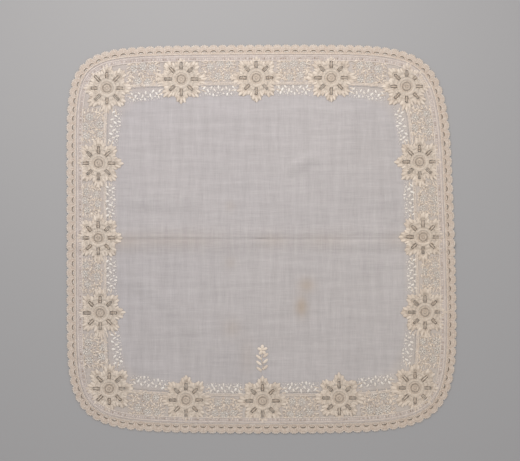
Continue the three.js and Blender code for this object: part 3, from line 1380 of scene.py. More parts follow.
    def plate(self) -> Shape:
        """The close padding of the flower, pierced by its openings.

        Returns:
            The padding, about its own middle.
        """
        turns = np.linspace(0, 2 * math.pi, self.body_points, endpoint=False)
        outlines = [polar(self.body(turns), turns), circle(self.wheel_outer, self.wheel_points)]
        for k in range(self.lobes):
            outlines.append(turned(self.leaf(self.opening_length(k)), k * self.sector))
        bm = plate_of(outlines, self.plate_bottom, self.plate_top)
        divide(bm, self.plate_step)
        return bm

    def stitches(self) -> Needlework:
        """Works the whole flower, at its place.

        Returns:
            The needlework.
        """
        work = Needlework(f"{self.name}_stitches", self.seed)
        self._work_wheel(work)
        self._work_body(work)
        self._work_lobes(work)
        self._work_leaflets(work)
        for k in range(self.lobes):
            self._work_opening(work, k)
        work.turn_to(self.x, self.y, self.facing)
        return work

    def _work_wheel(self, work: Needlework) -> None:
        """Works the open wheel: its rim, its spokes and its woven rings.

        Args:
            work: The needlework it belongs to.
        """
        self.wheel_rim.work(work, circle(self.wheel_outer, 2 * self.wheel_points))
        turns = all_round(self.spokes)
        inner, middle, outer = self.wheel_rings
        places = polar((outer + self.wheel_outer) / 2, turns)
        work.sew(self.spoke, *places.T, turns, self.wheel_outer - outer + 0.9)
        places = polar((inner + middle) / 2, turns[::2])
        work.sew(self.near_spoke, *places.T, turns[::2], middle - inner + 0.4)
        for reach in self.wheel_rings:
            self.ring.work(work, circle(reach, 36), closed=True)

    def _work_body(self, work: Needlework) -> None:
        """Works the satin stitch between the wheel and the openings, and between the openings.

        Args:
            work: The needlework it belongs to.
        """
        turns = np.linspace(0, 2 * math.pi, self.collar_stitches, endpoint=False)
        work.sew(self.collar, *polar(self.collar_reach, turns).T, turns)
        for k in range(self.lobes):
            for reach, half, count in self.fans:
                turns = (k + 0.5) * self.sector + np.linspace(-half, half, count)
                work.sew(self.fan, *polar(reach, turns).T, turns)

    def _work_lobes(self, work: Needlework) -> None:
        """Works long and short stitches over the lobes.

        Args:
            work: The needlework they belong to.
        """
        count = self.lobes * self.lobe_stitches
        turns = all_round(count, 0.5)
        outer = self.body(turns) + 0.7 * (-1.0) ** np.arange(count)
        length = np.maximum(outer - self._beyond_opening(turns), 1.6) + 0.4
        splay = turns + self._from_lobe(turns) * 0.4
        places = polar(outer, turns) - polar(length / 2, splay)
        work.sew(self.lobe, *places.T, splay, length)

    def _work_leaflets(self, work: Needlework) -> None:
        """Works the leaflets that reach past the edge of the lobes.

        Args:
            work: The needlework they belong to.
        """
        fan = np.linspace(-self.leaflet_span, self.leaflet_span, self.leaflets) * self.sector
        turns = (np.arange(self.lobes)[:, None] * self.sector + fan[None, :]).ravel()
        turns = turns + work.hand.normal(0, 0.012, len(turns))
        tips = polar(self.reach(turns) + work.hand.normal(0, 0.35, len(turns)), turns)
        splay = turns + self._from_lobe(turns) * 0.6
        room = np.hypot(*tips.T) - self._beyond_opening(turns) + 0.4
        length = np.minimum(self.leaflet_length * work.hand.uniform(0.85, 1.1, len(turns)), room)
        work.sew(self.leaflet, *(tips - polar(length, splay)).T, splay, length)

    def _from_lobe(self, turns: Points) -> Points:
        """How far directions lie from the middle of their lobe."""
        return np.mod(turns + self.sector / 2, self.sector) - self.sector / 2

    def _beyond_opening(self, turns: Points) -> Points:
        """Where stitches may start, so that they clear the openings.

        Args:
            turns: The directions of the stitches.

        Returns:
            The distance from the middle for each.
        """
        lobe = np.round(turns / self.sector).astype(int) % 2
        tip = self.opening_start + np.array(self.opening_lengths)[lobe]
        degrees = np.degrees(np.abs(self._from_lobe(turns)))
        share = np.interp(degrees, [0, 3, 7, 11, 23], [1, 1, 0.8, 0.35, 0.1])
        return tip * share + 14.0 * (1 - share) + 0.7

    def _work_opening(self, work: Needlework, k: int) -> None:
        """Works the overcast rim of one opening, and the threads and bars in it.

        Args:
            work: The needlework they belong to.
            k: The number of its lobe.
        """
        length = self.opening_length(k)
        held = Needlework("opening", self.seed * 10 + k)
        self.opening_rim.work(held, self.leaf(length))
        filling = list(Filling)[int(work.hand.integers(len(Filling)))]
        middle = self.opening_start + length / 2
        across = self.opening_width
        held.sew(self.thread, middle - 0.3, np.array(self.threads_across) * across, 0,
                 length * np.array(self.threads_along))
        bars = self.opening_start + length * np.linspace(*filling.value)
        if filling is Filling.LADDER:
            held.sew(self.rung, bars, 0, math.pi / 2, across)
            held.sew(self.rib, middle, 0, 0, length)
        elif filling is Filling.NET:
            lean = math.pi / 2 + self.bar_lean * (-1.0) ** np.arange(len(bars))
            held.sew(self.bar, bars, 0, lean, across + 0.3)
            held.sew(self.knot, bars[1:-1:2], 0)
        else:
            held.sew(self.bar, bars, 0, math.pi / 2, across)
            sides = np.array([-0.5, 0.5]) * self.twin_apart
            held.sew(self.twin_rib, middle - 0.3, sides, 0, length * 0.84)
        held.turn_to(0, 0, k * self.sector)
        work.take(held)

    def build(self, finish: Finish) -> list[Piece]:
        """Makes the padding and the stitches.

        Args:
            finish: The thread's material.

        Returns:
            The two pieces.
        """
        place = (self.x, self.y)
        padding = laid_piece(f"{self.name}_padding", self.plate(), UNEVENNESS.lift, self.facing, place)
        return [
            dress(padding, finish),
            dress(self.stitches().finish(UNEVENNESS.lift), finish),
        ]


# The border between the medallions


@dataclass(frozen=True)
class Stretch:
    """The line between the middles of two neighbouring medallions, run so that its left is inwards."""

    start: Points
    end: Points

    @property
    def half(self) -> float:
        """Half its length."""
        return float(np.hypot(*(self.end - self.start))) / 2

    @property
    def middle(self) -> Points:
        """The place halfway."""
        return (self.start + self.end) / 2

    @property
    def along(self) -> Points:
        """Its direction."""
        return (self.end - self.start) / np.hypot(*(self.end - self.start))

    @property
    def inward(self) -> Points:
        """The direction across it, away from the edge."""
        return np.array([-self.along[1], self.along[0]])

    @property
    def walked(self) -> float:
        """How far along the finished edge its middle lies."""
        return EDGE.nearest(self.middle)


@dataclass(frozen=True)
class Daisy:
    """A small flower of eyelets, by its place along and across the border, and its width."""

    along: float
    depth: float
    width: float = 6.2
    petals: int = 6

    def mirrored(self) -> "Daisy":
        """The same flower, left for right."""
        return replace(self, along=-self.along)


@dataclass(frozen=True)
class Leaf:
    """A padded leaf, by its place along and across the border, its direction and its size."""

    along: float
    depth: float
    turn: float
    length: float = 3.4
    width: float = 1.7

    def mirrored(self) -> "Leaf":
        """The same leaf, left for right."""
        return replace(self, along=-self.along, turn=180 - self.turn)


@dataclass(frozen=True)
class SprayPattern:
    """What is worked between two medallions: eyelet flowers, leaves, stems, dots and white leaves."""

    daisies: tuple[Daisy, ...]
    leaves: tuple[Leaf, ...]
    stems: tuple[tuple[tuple[float, float], ...], ...]
    dots: tuple[tuple[float, float], ...]
    white_leaves: tuple[Leaf, ...]
    white_dots: tuple[tuple[float, float], ...]

    def mirrored(self) -> "SprayPattern":
        """The same pattern, left for right."""
        return SprayPattern(
            tuple(daisy.mirrored() for daisy in self.daisies),
            tuple(leaf.mirrored() for leaf in self.leaves),
            tuple(tuple((-along, depth) for along, depth in stem) for stem in self.stems),
            tuple((-along, depth) for along, depth in self.dots),
            tuple(leaf.mirrored() for leaf in self.white_leaves),
            tuple((-along, depth) for along, depth in self.white_dots),
        )


ARCHED_SPRAY = SprayPattern(
    daisies=(
        Daisy(0, 18.2, 6.8, 7), Daisy(-9.6, 20.4), Daisy(9.4, 19.6), Daisy(-3.6, 33.2), Daisy(6.4, 31.0, 5.6),
    ),
    leaves=(
        Leaf(-4.8, 25.6, 120), Leaf(4.2, 25.2, 60), Leaf(-13.4, 26.6, 100), Leaf(13.2, 26.0, 80),
        Leaf(-9.2, 28.6, 40), Leaf(10.6, 27.6, 140), Leaf(0.6, 27.6, 90), Leaf(-14.4, 16.4, 30, 3.0),
        Leaf(14.0, 16.2, 150, 3.0), Leaf(11.8, 34.6, 20, 3.0), Leaf(-10.4, 34.4, 160, 3.0),
    ),
    stems=(
        ((0.4, 38.2), (1.6, 32.0), (1.0, 26.0), (0.2, 22.0)),
        ((-8.6, 37.4), (-12.6, 31.6), (-12.4, 26.0), (-10.4, 23.6)),
        ((9.4, 37.4), (13.0, 31.4), (12.4, 25.6), (10.0, 22.8)),
        ((1.4, 30.6), (-4.0, 28.4), (-8.4, 30.4), (-9.8, 34.0), (-7.4, 36.6)),
        ((-15.8, 13.8), (-12.6, 16.2), (-8.0, 15.4), (-4.2, 17.0)),
        ((15.8, 13.6), (12.4, 16.0), (8.0, 15.0), (4.4, 16.8)),
        ((-15.6, 22.0), (-14.2, 27.0), (-15.8, 33.0)),
        ((15.4, 21.6), (14.6, 27.0), (15.8, 32.6)),
    ),
    dots=((-6.4, 23.4), (6.0, 22.8), (-1.6, 24.0), (2.6, 29.4), (12.0, 30.4), (-12.8, 30.2), (0.2, 36.4)),
    white_leaves=(
        Leaf(-15.2, 43.4, 60), Leaf(-11.6, 45.6, 120), Leaf(-8.4, 42.8, 50), Leaf(-4.8, 46.6, 100),
        Leaf(-0.6, 43.2, 80), Leaf(3.0, 46.8, 60), Leaf(6.6, 43.4, 130), Leaf(10.2, 45.8, 70),
        Leaf(13.8, 43.0, 120), Leaf(-13.4, 49.2, 100, 3.0), Leaf(0.8, 50.2, 90, 3.0),
        Leaf(12.6, 49.4, 70, 3.0),
    ),
    white_dots=(
        (-9.8, 48.4), (-6.4, 49.6), (5.2, 49.8), (8.6, 48.6), (-2.4, 48.2), (16.0, 47.0), (-16.4, 47.4),
    ),
)

TRAILING_SPRAY = SprayPattern(
    daisies=(
        Daisy(-1.4, 17.4, 6.6, 7), Daisy(8.8, 21.2), Daisy(-11.0, 19.0), Daisy(1.0, 31.6, 6.4),
        Daisy(-9.0, 32.4, 5.4),
    ),
    leaves=(
        Leaf(-5.8, 24.4, 140), Leaf(3.4, 23.6, 50), Leaf(-14.6, 25.6, 80), Leaf(13.8, 26.8, 110),
        Leaf(8.4, 28.8, 20), Leaf(-4.4, 28.4, 60), Leaf(13.2, 16.6, 170, 3.0), Leaf(-15.0, 14.8, 20, 3.0),
        Leaf(7.6, 34.2, 150, 3.0), Leaf(13.0, 33.6, 40, 3.0), Leaf(-14.2, 31.4, 120, 3.0),
    ),
    stems=(
        ((-4.0, 38.0), (-4.6, 32.0), (-2.4, 27.0), (-1.6, 21.4)),
        ((5.6, 37.6), (9.6, 33.0), (10.8, 28.6), (9.4, 24.8)),
        ((-12.4, 37.2), (-13.4, 30.4), (-11.8, 26.0), (-11.0, 22.6)),
        ((-4.4, 34.8), (-1.0, 36.4), (4.2, 36.2), (5.6, 33.0)),
        ((-16.0, 17.6), (-14.0, 14.8), (-9.0, 14.8), (-5.0, 15.6)),
        ((2.6, 16.0), (7.0, 16.8), (11.4, 14.6), (15.8, 15.4)),
        ((15.6, 22.4), (14.2, 28.4), (15.8, 34.4)),
        ((-8.8, 27.4), (-6.6, 23.0), (-7.4, 19.0)),
    ),
    dots=((5.0, 27.0), (-8.2, 25.4), (0.4, 25.2), (12.2, 30.4), (-6.2, 36.6), (14.6, 19.6), (-15.6, 21.4)),
    white_leaves=(
        Leaf(-14.6, 42.8, 130), Leaf(-11.0, 46.2, 70), Leaf(-7.2, 43.4, 110), Leaf(-3.4, 45.6, 40),
        Leaf(0.4, 42.8, 100), Leaf(4.2, 46.0, 130), Leaf(7.8, 42.8, 60), Leaf(11.4, 46.2, 110),
        Leaf(15.0, 43.6, 50), Leaf(-8.6, 50.0, 80, 3.0), Leaf(5.8, 50.6, 100, 3.0),
    ),
    white_dots=(
        (-12.6, 49.8), (-4.8, 49.4), (0.8, 48.8), (9.4, 50.0), (13.4, 49.0), (-16.4, 46.6), (2.2, 51.4),
    ),
)


SPRAYS = (ARCHED_SPRAY, TRAILING_SPRAY, ARCHED_SPRAY.mirrored(), TRAILING_SPRAY.mirrored())


@dataclass
class Interval:
    """The stretch of border between two medallions, worked flat: along it and inwards from the lace."""

    name: str
    stretch: Stretch
    pattern: SprayPattern
    seed: int
    hem_depth: float = 15.1
    row_depth: float = 34.0

    eyelet_radius: float = 0.55
    petal_reach: float = 0.36
    ray_reach: float = 0.46
    eyelet: Stitch = Stitch(EYELET, z=0.72, length=1.5, width=1.5, height=1.5)
    ray: Stitch = Stitch(STRAND, z=0.8, length=1.9, width=0.95, height=0.6)
    heart: Stitch = Stitch(PICOT, z=0.8, length=1.7, width=1.7, height=1.0)

    leaf: Stitch = Stitch(LEAF, z=0.72, height=1.3, slack=0.08)
    white_scale: float = 1.18
    dot: Stitch = Stitch(DOT, z=0.72, length=1.5, width=1.5, height=1.0)
    white_dot: Stitch = Stitch(DOT, z=0.75, length=1.9, width=1.9, height=1.2)
    stem: Cord = Cord(pitch=1.15, width=0.7, z=0.72)
    stem_points: int = 10
    leaflet: Stitch = Stitch(FEATHER, z=0.74, length=2.5, width=1.15, height=0.9, slack=0.12)
    leaflet_pitch: float = 2.3
    leaflet_splay: float = 0.85

    stroke: Stitch = Stitch(FEATHER, z=0.74, width=1.1, height=0.75)
    strokes: int = 9
    stroke_depths: tuple[float, float] = (16.5, 45.0)
    stroke_lengths: tuple[float, float] = (4.5, 7.0)
    stroke_clear: float = 19.4
    stroke_fan: float = 20.0

    # Some grains are brown: painted shade, dark specks for small shadowed holes in the ground.
    grain: Stitch = Stitch(STRAND, z=0.66, length=1.5, width=0.78, height=0.42, slack=0.08, shades=MIXED)
    white_grain: Stitch = replace(grain, shades=FRESH)
    grain_pitch: float = 2.1
    grain_clear: float = 20.5
    outer_grains: tuple[float, float] = (16.4, 37.0)
    inner_grains: tuple[float, float] = (42.6, 51.5)

    def flat(self, points: Points) -> Points:
        """Finds places on the cloth: beside the hem, along the medallions' line, or past it.

        Args:
            points: Points along and inwards, one row each.

        Returns:
            Their places on the flat cloth.
        """
        along, depth = points[:, :1], points[:, 1:2]
        share = np.clip((depth - self.hem_depth) / (self.row_depth - self.hem_depth), 0, 1)
        by_edge = EDGE.at(self.stretch.walked + along[:, 0], np.minimum(depth[:, 0], self.hem_depth))
        by_line = self.stretch.middle + self.stretch.along * along
        by_line = by_line + self.stretch.inward * np.maximum(depth - self.row_depth, 0)
        return by_edge * (1 - share) + by_line * share

    def lay(self, points: Points) -> Points:
        """Lays flat points, along and inwards, in their place on the cloth."""
        return UNEVENNESS.lift(np.column_stack([self.flat(points), points[:, 2]]))

    def eyelets(self, daisy: Daisy) -> Points:
        """The middles of a daisy's eyelets."""
        turns = all_round(daisy.petals) + daisy.along
        return polar(daisy.width * self.petal_reach, turns) + (daisy.along, daisy.depth)

    def cut(self, cutter: Needlework) -> None:
        """Marks the eyelets for cutting out of the cloth.

        Args:
            cutter: What the eyelets are added to.
        """
        middles = np.vstack([self.eyelets(daisy) for daisy in self.pattern.daisies])
        cutter.sew(prism(circle(self.eyelet_radius, 8)), *self.flat(middles).T)

    def spray(self) -> Needlework:
        """Works the outer spray: leaves, dots and stems on a grained ground.

        Returns:
            The needlework, along and inwards.
        """
        work = Needlework(f"{self.name}_leaves", self.seed)
        self._work_leaves(work, self.pattern.leaves, 1.0)
        work.sew(self.dot, *np.array(self.pattern.dots).T)
        self._work_strokes(work)
        self._work_ground(work, self.grain, self.outer_grains, self.grain_pitch)
        for knots in self.pattern.stems:
            path = smooth_path(knots, self.stem_points)
            self.stem.work(work, path)
            x, y, turn = walk_by(path, self.leaflet_pitch, fewest=2)
            sides = np.where(np.arange(len(x)) % 2, 1.0, -1.0)
            work.sew(self.leaflet, x, y, turn + sides * self.leaflet_splay)
        return work

    def white_work(self) -> Needlework:
        """Works the eyelet flowers, and the inner row of white leaves and dots.

        Returns:
            The needlework, along and inwards.
        """
        work = Needlework(f"{self.name}_white_work", self.seed + 50)
        for daisy in self.pattern.daisies:
            work.sew(self.eyelet, *self.eyelets(daisy).T)
            between = all_round(daisy.petals, 0.5) + daisy.along
            rays = polar(daisy.width * self.ray_reach, between) + (daisy.along, daisy.depth)
            work.sew(self.ray, *rays.T, between)
            work.sew(self.heart, daisy.along, daisy.depth)
        self._work_leaves(work, self.pattern.white_leaves, self.white_scale)
        self._work_ground(work, self.white_grain, self.inner_grains, 1.3 * self.grain_pitch)
        work.sew(self.white_dot, *np.array(self.pattern.white_dots).T)
        return work

    def _work_leaves(self, work: Needlework, leaves: Sequence[Leaf], scale: float) -> None:
        """Works padded leaves.

        Args:
            work: The needlework they belong to.
            leaves: The leaves.
            scale: How large they are worked.
        """
        for_each = [(each.along, each.depth, each.turn, each.length, each.width) for each in leaves]
        along, depth, turn, length, width = np.array(for_each).T
        work.sew(self.leaf, along, depth, np.radians(turn), length * scale, width * scale)

    def _work_strokes(self, work: Needlework) -> None:
        """Works long thin leaflets that reach from each medallion's side towards the spray.

        Args:
            work: The needlework they belong to.
        """
        for side in (-1.0, 1.0):
            depths = np.linspace(*self.stroke_depths, self.strokes) + work.hand.normal(0, 0.25, self.strokes)
            fan = (depths - self.row_depth) / self.stroke_fan
            base = side * (self.stretch.half - self.stroke_clear - 1.2 * fan**2)
            turn = np.where(side > 0, math.pi - 0.5 * fan, 0.5 * fan)
            work.sew(self.stroke, base, depths, turn, work.hand.uniform(*self.stroke_lengths, self.strokes))

    def _work_ground(self, work: Needlework, stitch: Stitch, depths: tuple[float, float],
                     pitch: float) -> None:
        """Scatters small stitches evenly over the ground, lying in all directions.

        Args:
            work: The needlework they belong to.
            stitch: The kind of stitch.
            depths: Where they start and end, inwards.
            pitch: The distance from one to the next.
        """
        reach = self.stretch.half - self.grain_clear
        depth, along = np.mgrid[depths[0] : depths[1] : pitch, -reach:reach:pitch]
        along = along + (np.arange(len(depth)) % 2)[:, None] * pitch / 2
        stray = work.hand.normal(0, 0.16 * pitch, (2, depth.size))
        turn = work.hand.uniform(0, math.pi, depth.size)
        work.sew(stitch, along.ravel() + stray[0], depth.ravel() + stray[1], turn)

    def build(self, cream: Finish, white: Finish) -> list[Piece]:
        """Makes the spray and the white work.

        Args:
            cream: The thread of the spray.
            white: The thread of the eyelet flowers and the white leaves.

        Returns:
            The two pieces.
        """
        return [
            dress(self.spray().finish(self.lay), cream),
            dress(self.white_work().finish(self.lay), white),
        ]


@dataclass
class DoubleLine:
    """A bright band of two raised cords over close bars, with drawn-thread slits on its inner side."""

    name: str
    stretch: Stretch
    seed: int
    depth: float = 38.2
    apart: float = 1.7
    clear: float = 17.0
    points: int = 24
    slit: float = 2.6
    slit_width: float = 0.45
    slit_inward: float = 2.7
    slit_spacing: float = 1.3
    edge_cord: Cord = Cord(pitch=1.3, width=0.85, z=0.8)
    bar_pitch: float = 1.0
    bar: Stitch = Stitch(STRAND, z=0.7, width=0.95, height=0.45)

    def line(self, inward: float) -> Points:
        """A line beside the band's middle, from one medallion to the other.

        Args:
            inward: How far inside the middle it lies.

        Returns:
            Its points, one row each.
        """
        half = self.stretch.half - self.clear
        return EDGE.at(self.stretch.walked + np.linspace(-half, half, self.points), self.depth + inward)

    def cut(self, cutter: Needlework) -> None:
        """Marks the slits for cutting out of the cloth.

        Args:
            cutter: What the slits are added to.
        """
        corners = np.array([(-0.5, -0.5), (0.5, -0.5), (0.5, 0.5), (-0.5, 0.5)])
        slit = prism(corners * (self.slit, self.slit_width))
        cutter.sew(slit, *walk_by(self.line(self.slit_inward), self.slit * self.slit_spacing))

    def build(self, finish: Finish) -> Piece:
        """Makes the cords and the bars between them.

        Args:
            finish: The thread's material.

        Returns:
            The piece.
        """
        work = Needlework(self.name, self.seed)
        for side in (-0.5, 0.5):
            self.edge_cord.work(work, self.line(side * self.apart))
        x, y, turn = walk_by(self.line(0.0), self.bar_pitch)
        work.sew(self.bar, x, y, turn + math.pi / 2, self.apart + 0.5)
        return dress(work.finish(UNEVENNESS.lift), finish)


@dataclass
class Hem:
    """The narrow hem: a second layer of the linen, held by rows of stitches."""

    outer: float = 8.9
    inner: float = 15.1
    bottom: float = 0.64
    top: float = 0.9
    count: int = 640
    channels: int = 5
    seed: int = 7
    rows: tuple[float, ...] = (10.5, 14.9)
    row_cord: Cord = Cord(pitch=2.2, width=0.95, z=0.98, twist=0.08)
    dotted: float = 12.8
    dot: Stitch = Stitch(STRAND, z=0.94, length=2.1, width=1.1, height=0.5, slack=0.12, shades=MIXED)

    def build(self, linen: Finish, thread: Finish) -> list[Piece]:
        """Makes the layer and its rows of stitches.

        Args:
            linen: The cloth's material.
            thread: The thread's material.

        Returns:
            The two pieces.
        """
        rings = [EDGE.ring(self.count, depth) for depth in np.linspace(self.outer, self.inner, self.channels)]
        layer = laid_piece("hem_layer", band_of(rings, self.bottom, self.top - self.bottom), UNEVENNESS.lift)
        work = Needlework("hem_stitches", self.seed)
        for depth in self.rows:
            self.row_cord.work(work, EDGE.ring(self.count, depth), closed=True)
        x, y, turn = walk(EDGE.ring(self.count, self.dotted), self.count, closed=True)
        work.sew(self.dot, x, y, turn + math.pi / 2)
        return [
            dress(layer, linen),
            dress(work.finish(UNEVENNESS.lift), thread),
        ]


@dataclass
class Sprig:
    """A small plain sprig near the lower edge: one flower on a stem with leaves."""

    x: float = 0.8
    y: float = -121.9
    height: float = 28.0
    seed: int = 31
    stem: Cord = Cord(pitch=1.1, width=0.8, z=0.75)
    stem_knots: tuple[tuple[float, float], ...] = ((-1.6, -1.0), (0.9, -0.55), (-0.7, -0.1), (0.2, 0.45))
    flower: float = 10.5
    petals: int = 5
    petal: Stitch = Stitch(LEAF, z=0.75, height=1.3)
    heart: Stitch = Stitch(DOT, z=0.85, length=1.8, width=1.8, height=1.1)
    leaf: Stitch = Stitch(LEAF, z=0.75, length=6.6, width=2.9, height=1.3)
    leaf_turn: float = 0.7
    leaf_places: tuple[tuple[float, float], ...] = (
        (-0.86, -1), (-0.74, 1), (-0.42, -1), (-0.28, 1), (0.0, -1), (0.14, 1),
    )

    def build(self, finish: Finish) -> Piece:
        """Works the sprig upright, at its place.

        Args:
            finish: The thread's material.

        Returns:
            The piece.
        """
        work = Needlework("sprig", self.seed)
        half = self.height / 2
        self.stem.work(work, smooth_path([(x, share * half) for x, share in self.stem_knots], 14))
        turns = all_round(self.petals) + math.pi / 2
        middle = np.array([self.stem_knots[-1][0], half - self.flower / 2])
        places = polar(self.flower * 0.29, turns) + middle
        work.sew(self.petal, *places.T, turns, self.flower * 0.44, self.flower * 0.32)
        work.sew(self.heart, *middle)
        upward, sides = np.array(self.leaf_places).T
        turns = np.where(sides > 0, self.leaf_turn, math.pi - self.leaf_turn)
        work.sew(self.leaf, sides * self.leaf.length * 0.5, upward * half + 1.2, turns)
        work.turn_to(self.x, self.y, 0)
        return dress(work.finish(UNEVENNESS.lift), finish)


# The linen


@dataclass(frozen=True)
class Stain:
    """A yellowed patch, by its middle and its reach each way."""

    x: float
    y: float
    reach_x: float
    reach_y: float
    strength: float

    def at(self, points: Points) -> Points:
        """How strong the patch is at each point."""
        far = ((points[:, 0] - self.x) / self.reach_x) ** 2 + ((points[:, 1] - self.y) / self.reach_y) ** 2
        return self.strength * np.exp(-far)


@dataclass
class LinenGround:
    """The square of sheer linen, cut through where the embroidery opens it."""

    edge_depth: float = 8.9
    bottom: float = 0.36
    thickness: float = 0.26
    cells: int = 164
    fold_at: float = 0.01
    fold_reach: float = 0.06
    fold_pull: float = 0.72
    outline_points: int = 720
    border_depth: float = 53.0
    border_fade: float = 17.0
    stains: tuple[Stain, ...] = (
        Stain(-88, -1, 56, 10, 0.24), Stain(12, -1, 17, 8, 0.24), Stain(65, -1, 27, 9, 0.2),
        Stain(46, -47, 8, 7, 0.55), Stain(41, -69, 6, 10, 0.75), Stain(-32, 34, 5, 5, 0.2),
        Stain(-32, -24, 6, 6, 0.2), Stain(-30, -91, 9, 10, 0.24), Stain(-14, -121, 8, 20, 0.18),
        Stain(150, -1, 26, 9, 0.24), Stain(-150, -3, 22, 9, 0.3),
    )

    def sheet(self) -> Piece:
        """Makes the whole cloth, flat.

        Returns:
            The cloth, before it is opened.
        """
        bm = bmesh.new()
        bmesh.ops.create_grid(bm, x_segments=self.cells, y_segments=self.cells, size=1.0)
        outline = EDGE.ring(self.outline_points, self.edge_depth)
        angles = np.unwrap(np.arctan2(outline[:, 1], outline[:, 0]))
        spans = np.hypot(*outline.T)
        for vert in bm.verts:
            x, y = vert.co.x, self.closer(vert.co.y)
            share = max(abs(x), abs(y))
            reach = np.interp(math.atan2(y, x) % (2 * math.pi), angles, spans, period=2 * math.pi)
            size = share * float(reach) / max(math.hypot(x, y), 1e-9)
            vert.co = (x * size, y * size, 0)
        thicken(bm, self.bottom, self.thickness)
        return laid_piece("linen_sheet", bm, unmoved)

    def closer(self, upward: float) -> float:
        """Draws the rows of the sheet's grid closer together along the middle fold."""
        off = upward - self.fold_at
        return upward - self.fold_pull * off * math.exp(-((off / self.fold_reach) ** 2))

    def _mark(self, mesh: bpy.types.Mesh) -> None:
        """Marks where the cloth is soiled, and the border, which is creamier and closer.

        Args:
            mesh: The flat cloth.
        """
        points = points_of(mesh)
        soil = np.clip(np.sum([stain.at(points) for stain in self.stains], axis=0), 0, 1)
        border = np.clip((self.border_depth - EDGE.depth_of(points[:, :2])) / self.border_fade, 0, 1)
        for name, values in (("soil", soil), ("border", border)):
            mesh.attributes.new(name, "FLOAT", "POINT").data.foreach_set("value", values)

    def build(self, cutters: Sequence[Medallion | Interval | DoubleLine],
              finish: Finish) -> Piece:
        """Makes the cloth.

        Args:
            cutters: What opens the cloth.
            finish: The linen's material.

        Returns:
            The cloth, in the place of its solid.
        """
        flat = self.sheet()
        cutter = Needlework("openings")
        for each in cutters:
            each.cut(cutter)
        sheet = pierced(flat, cutter.finish(unmoved))
        self._mark(sheet.data)
        lay_on_swells(sheet.data)
        dress(sheet, finish)
        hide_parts(LINEN_NODE)
        return sheet

    def declare(self, piece: Piece, sewn: Sequence[Piece]) -> None:
        """Works out the cut size and the area of the cloth, and does nothing more with them.

        Args:
            piece: The cloth; not used.
            sewn: What is sewn on it; not used.
        """
        cut = EDGE.ring(EDGE.samples // 2, self.edge_depth)
        width, length = (cut.max(axis=0) - cut.min(axis=0)) * MM
        area = EDGE.area(self.edge_depth) * MM**2


# The lace edging


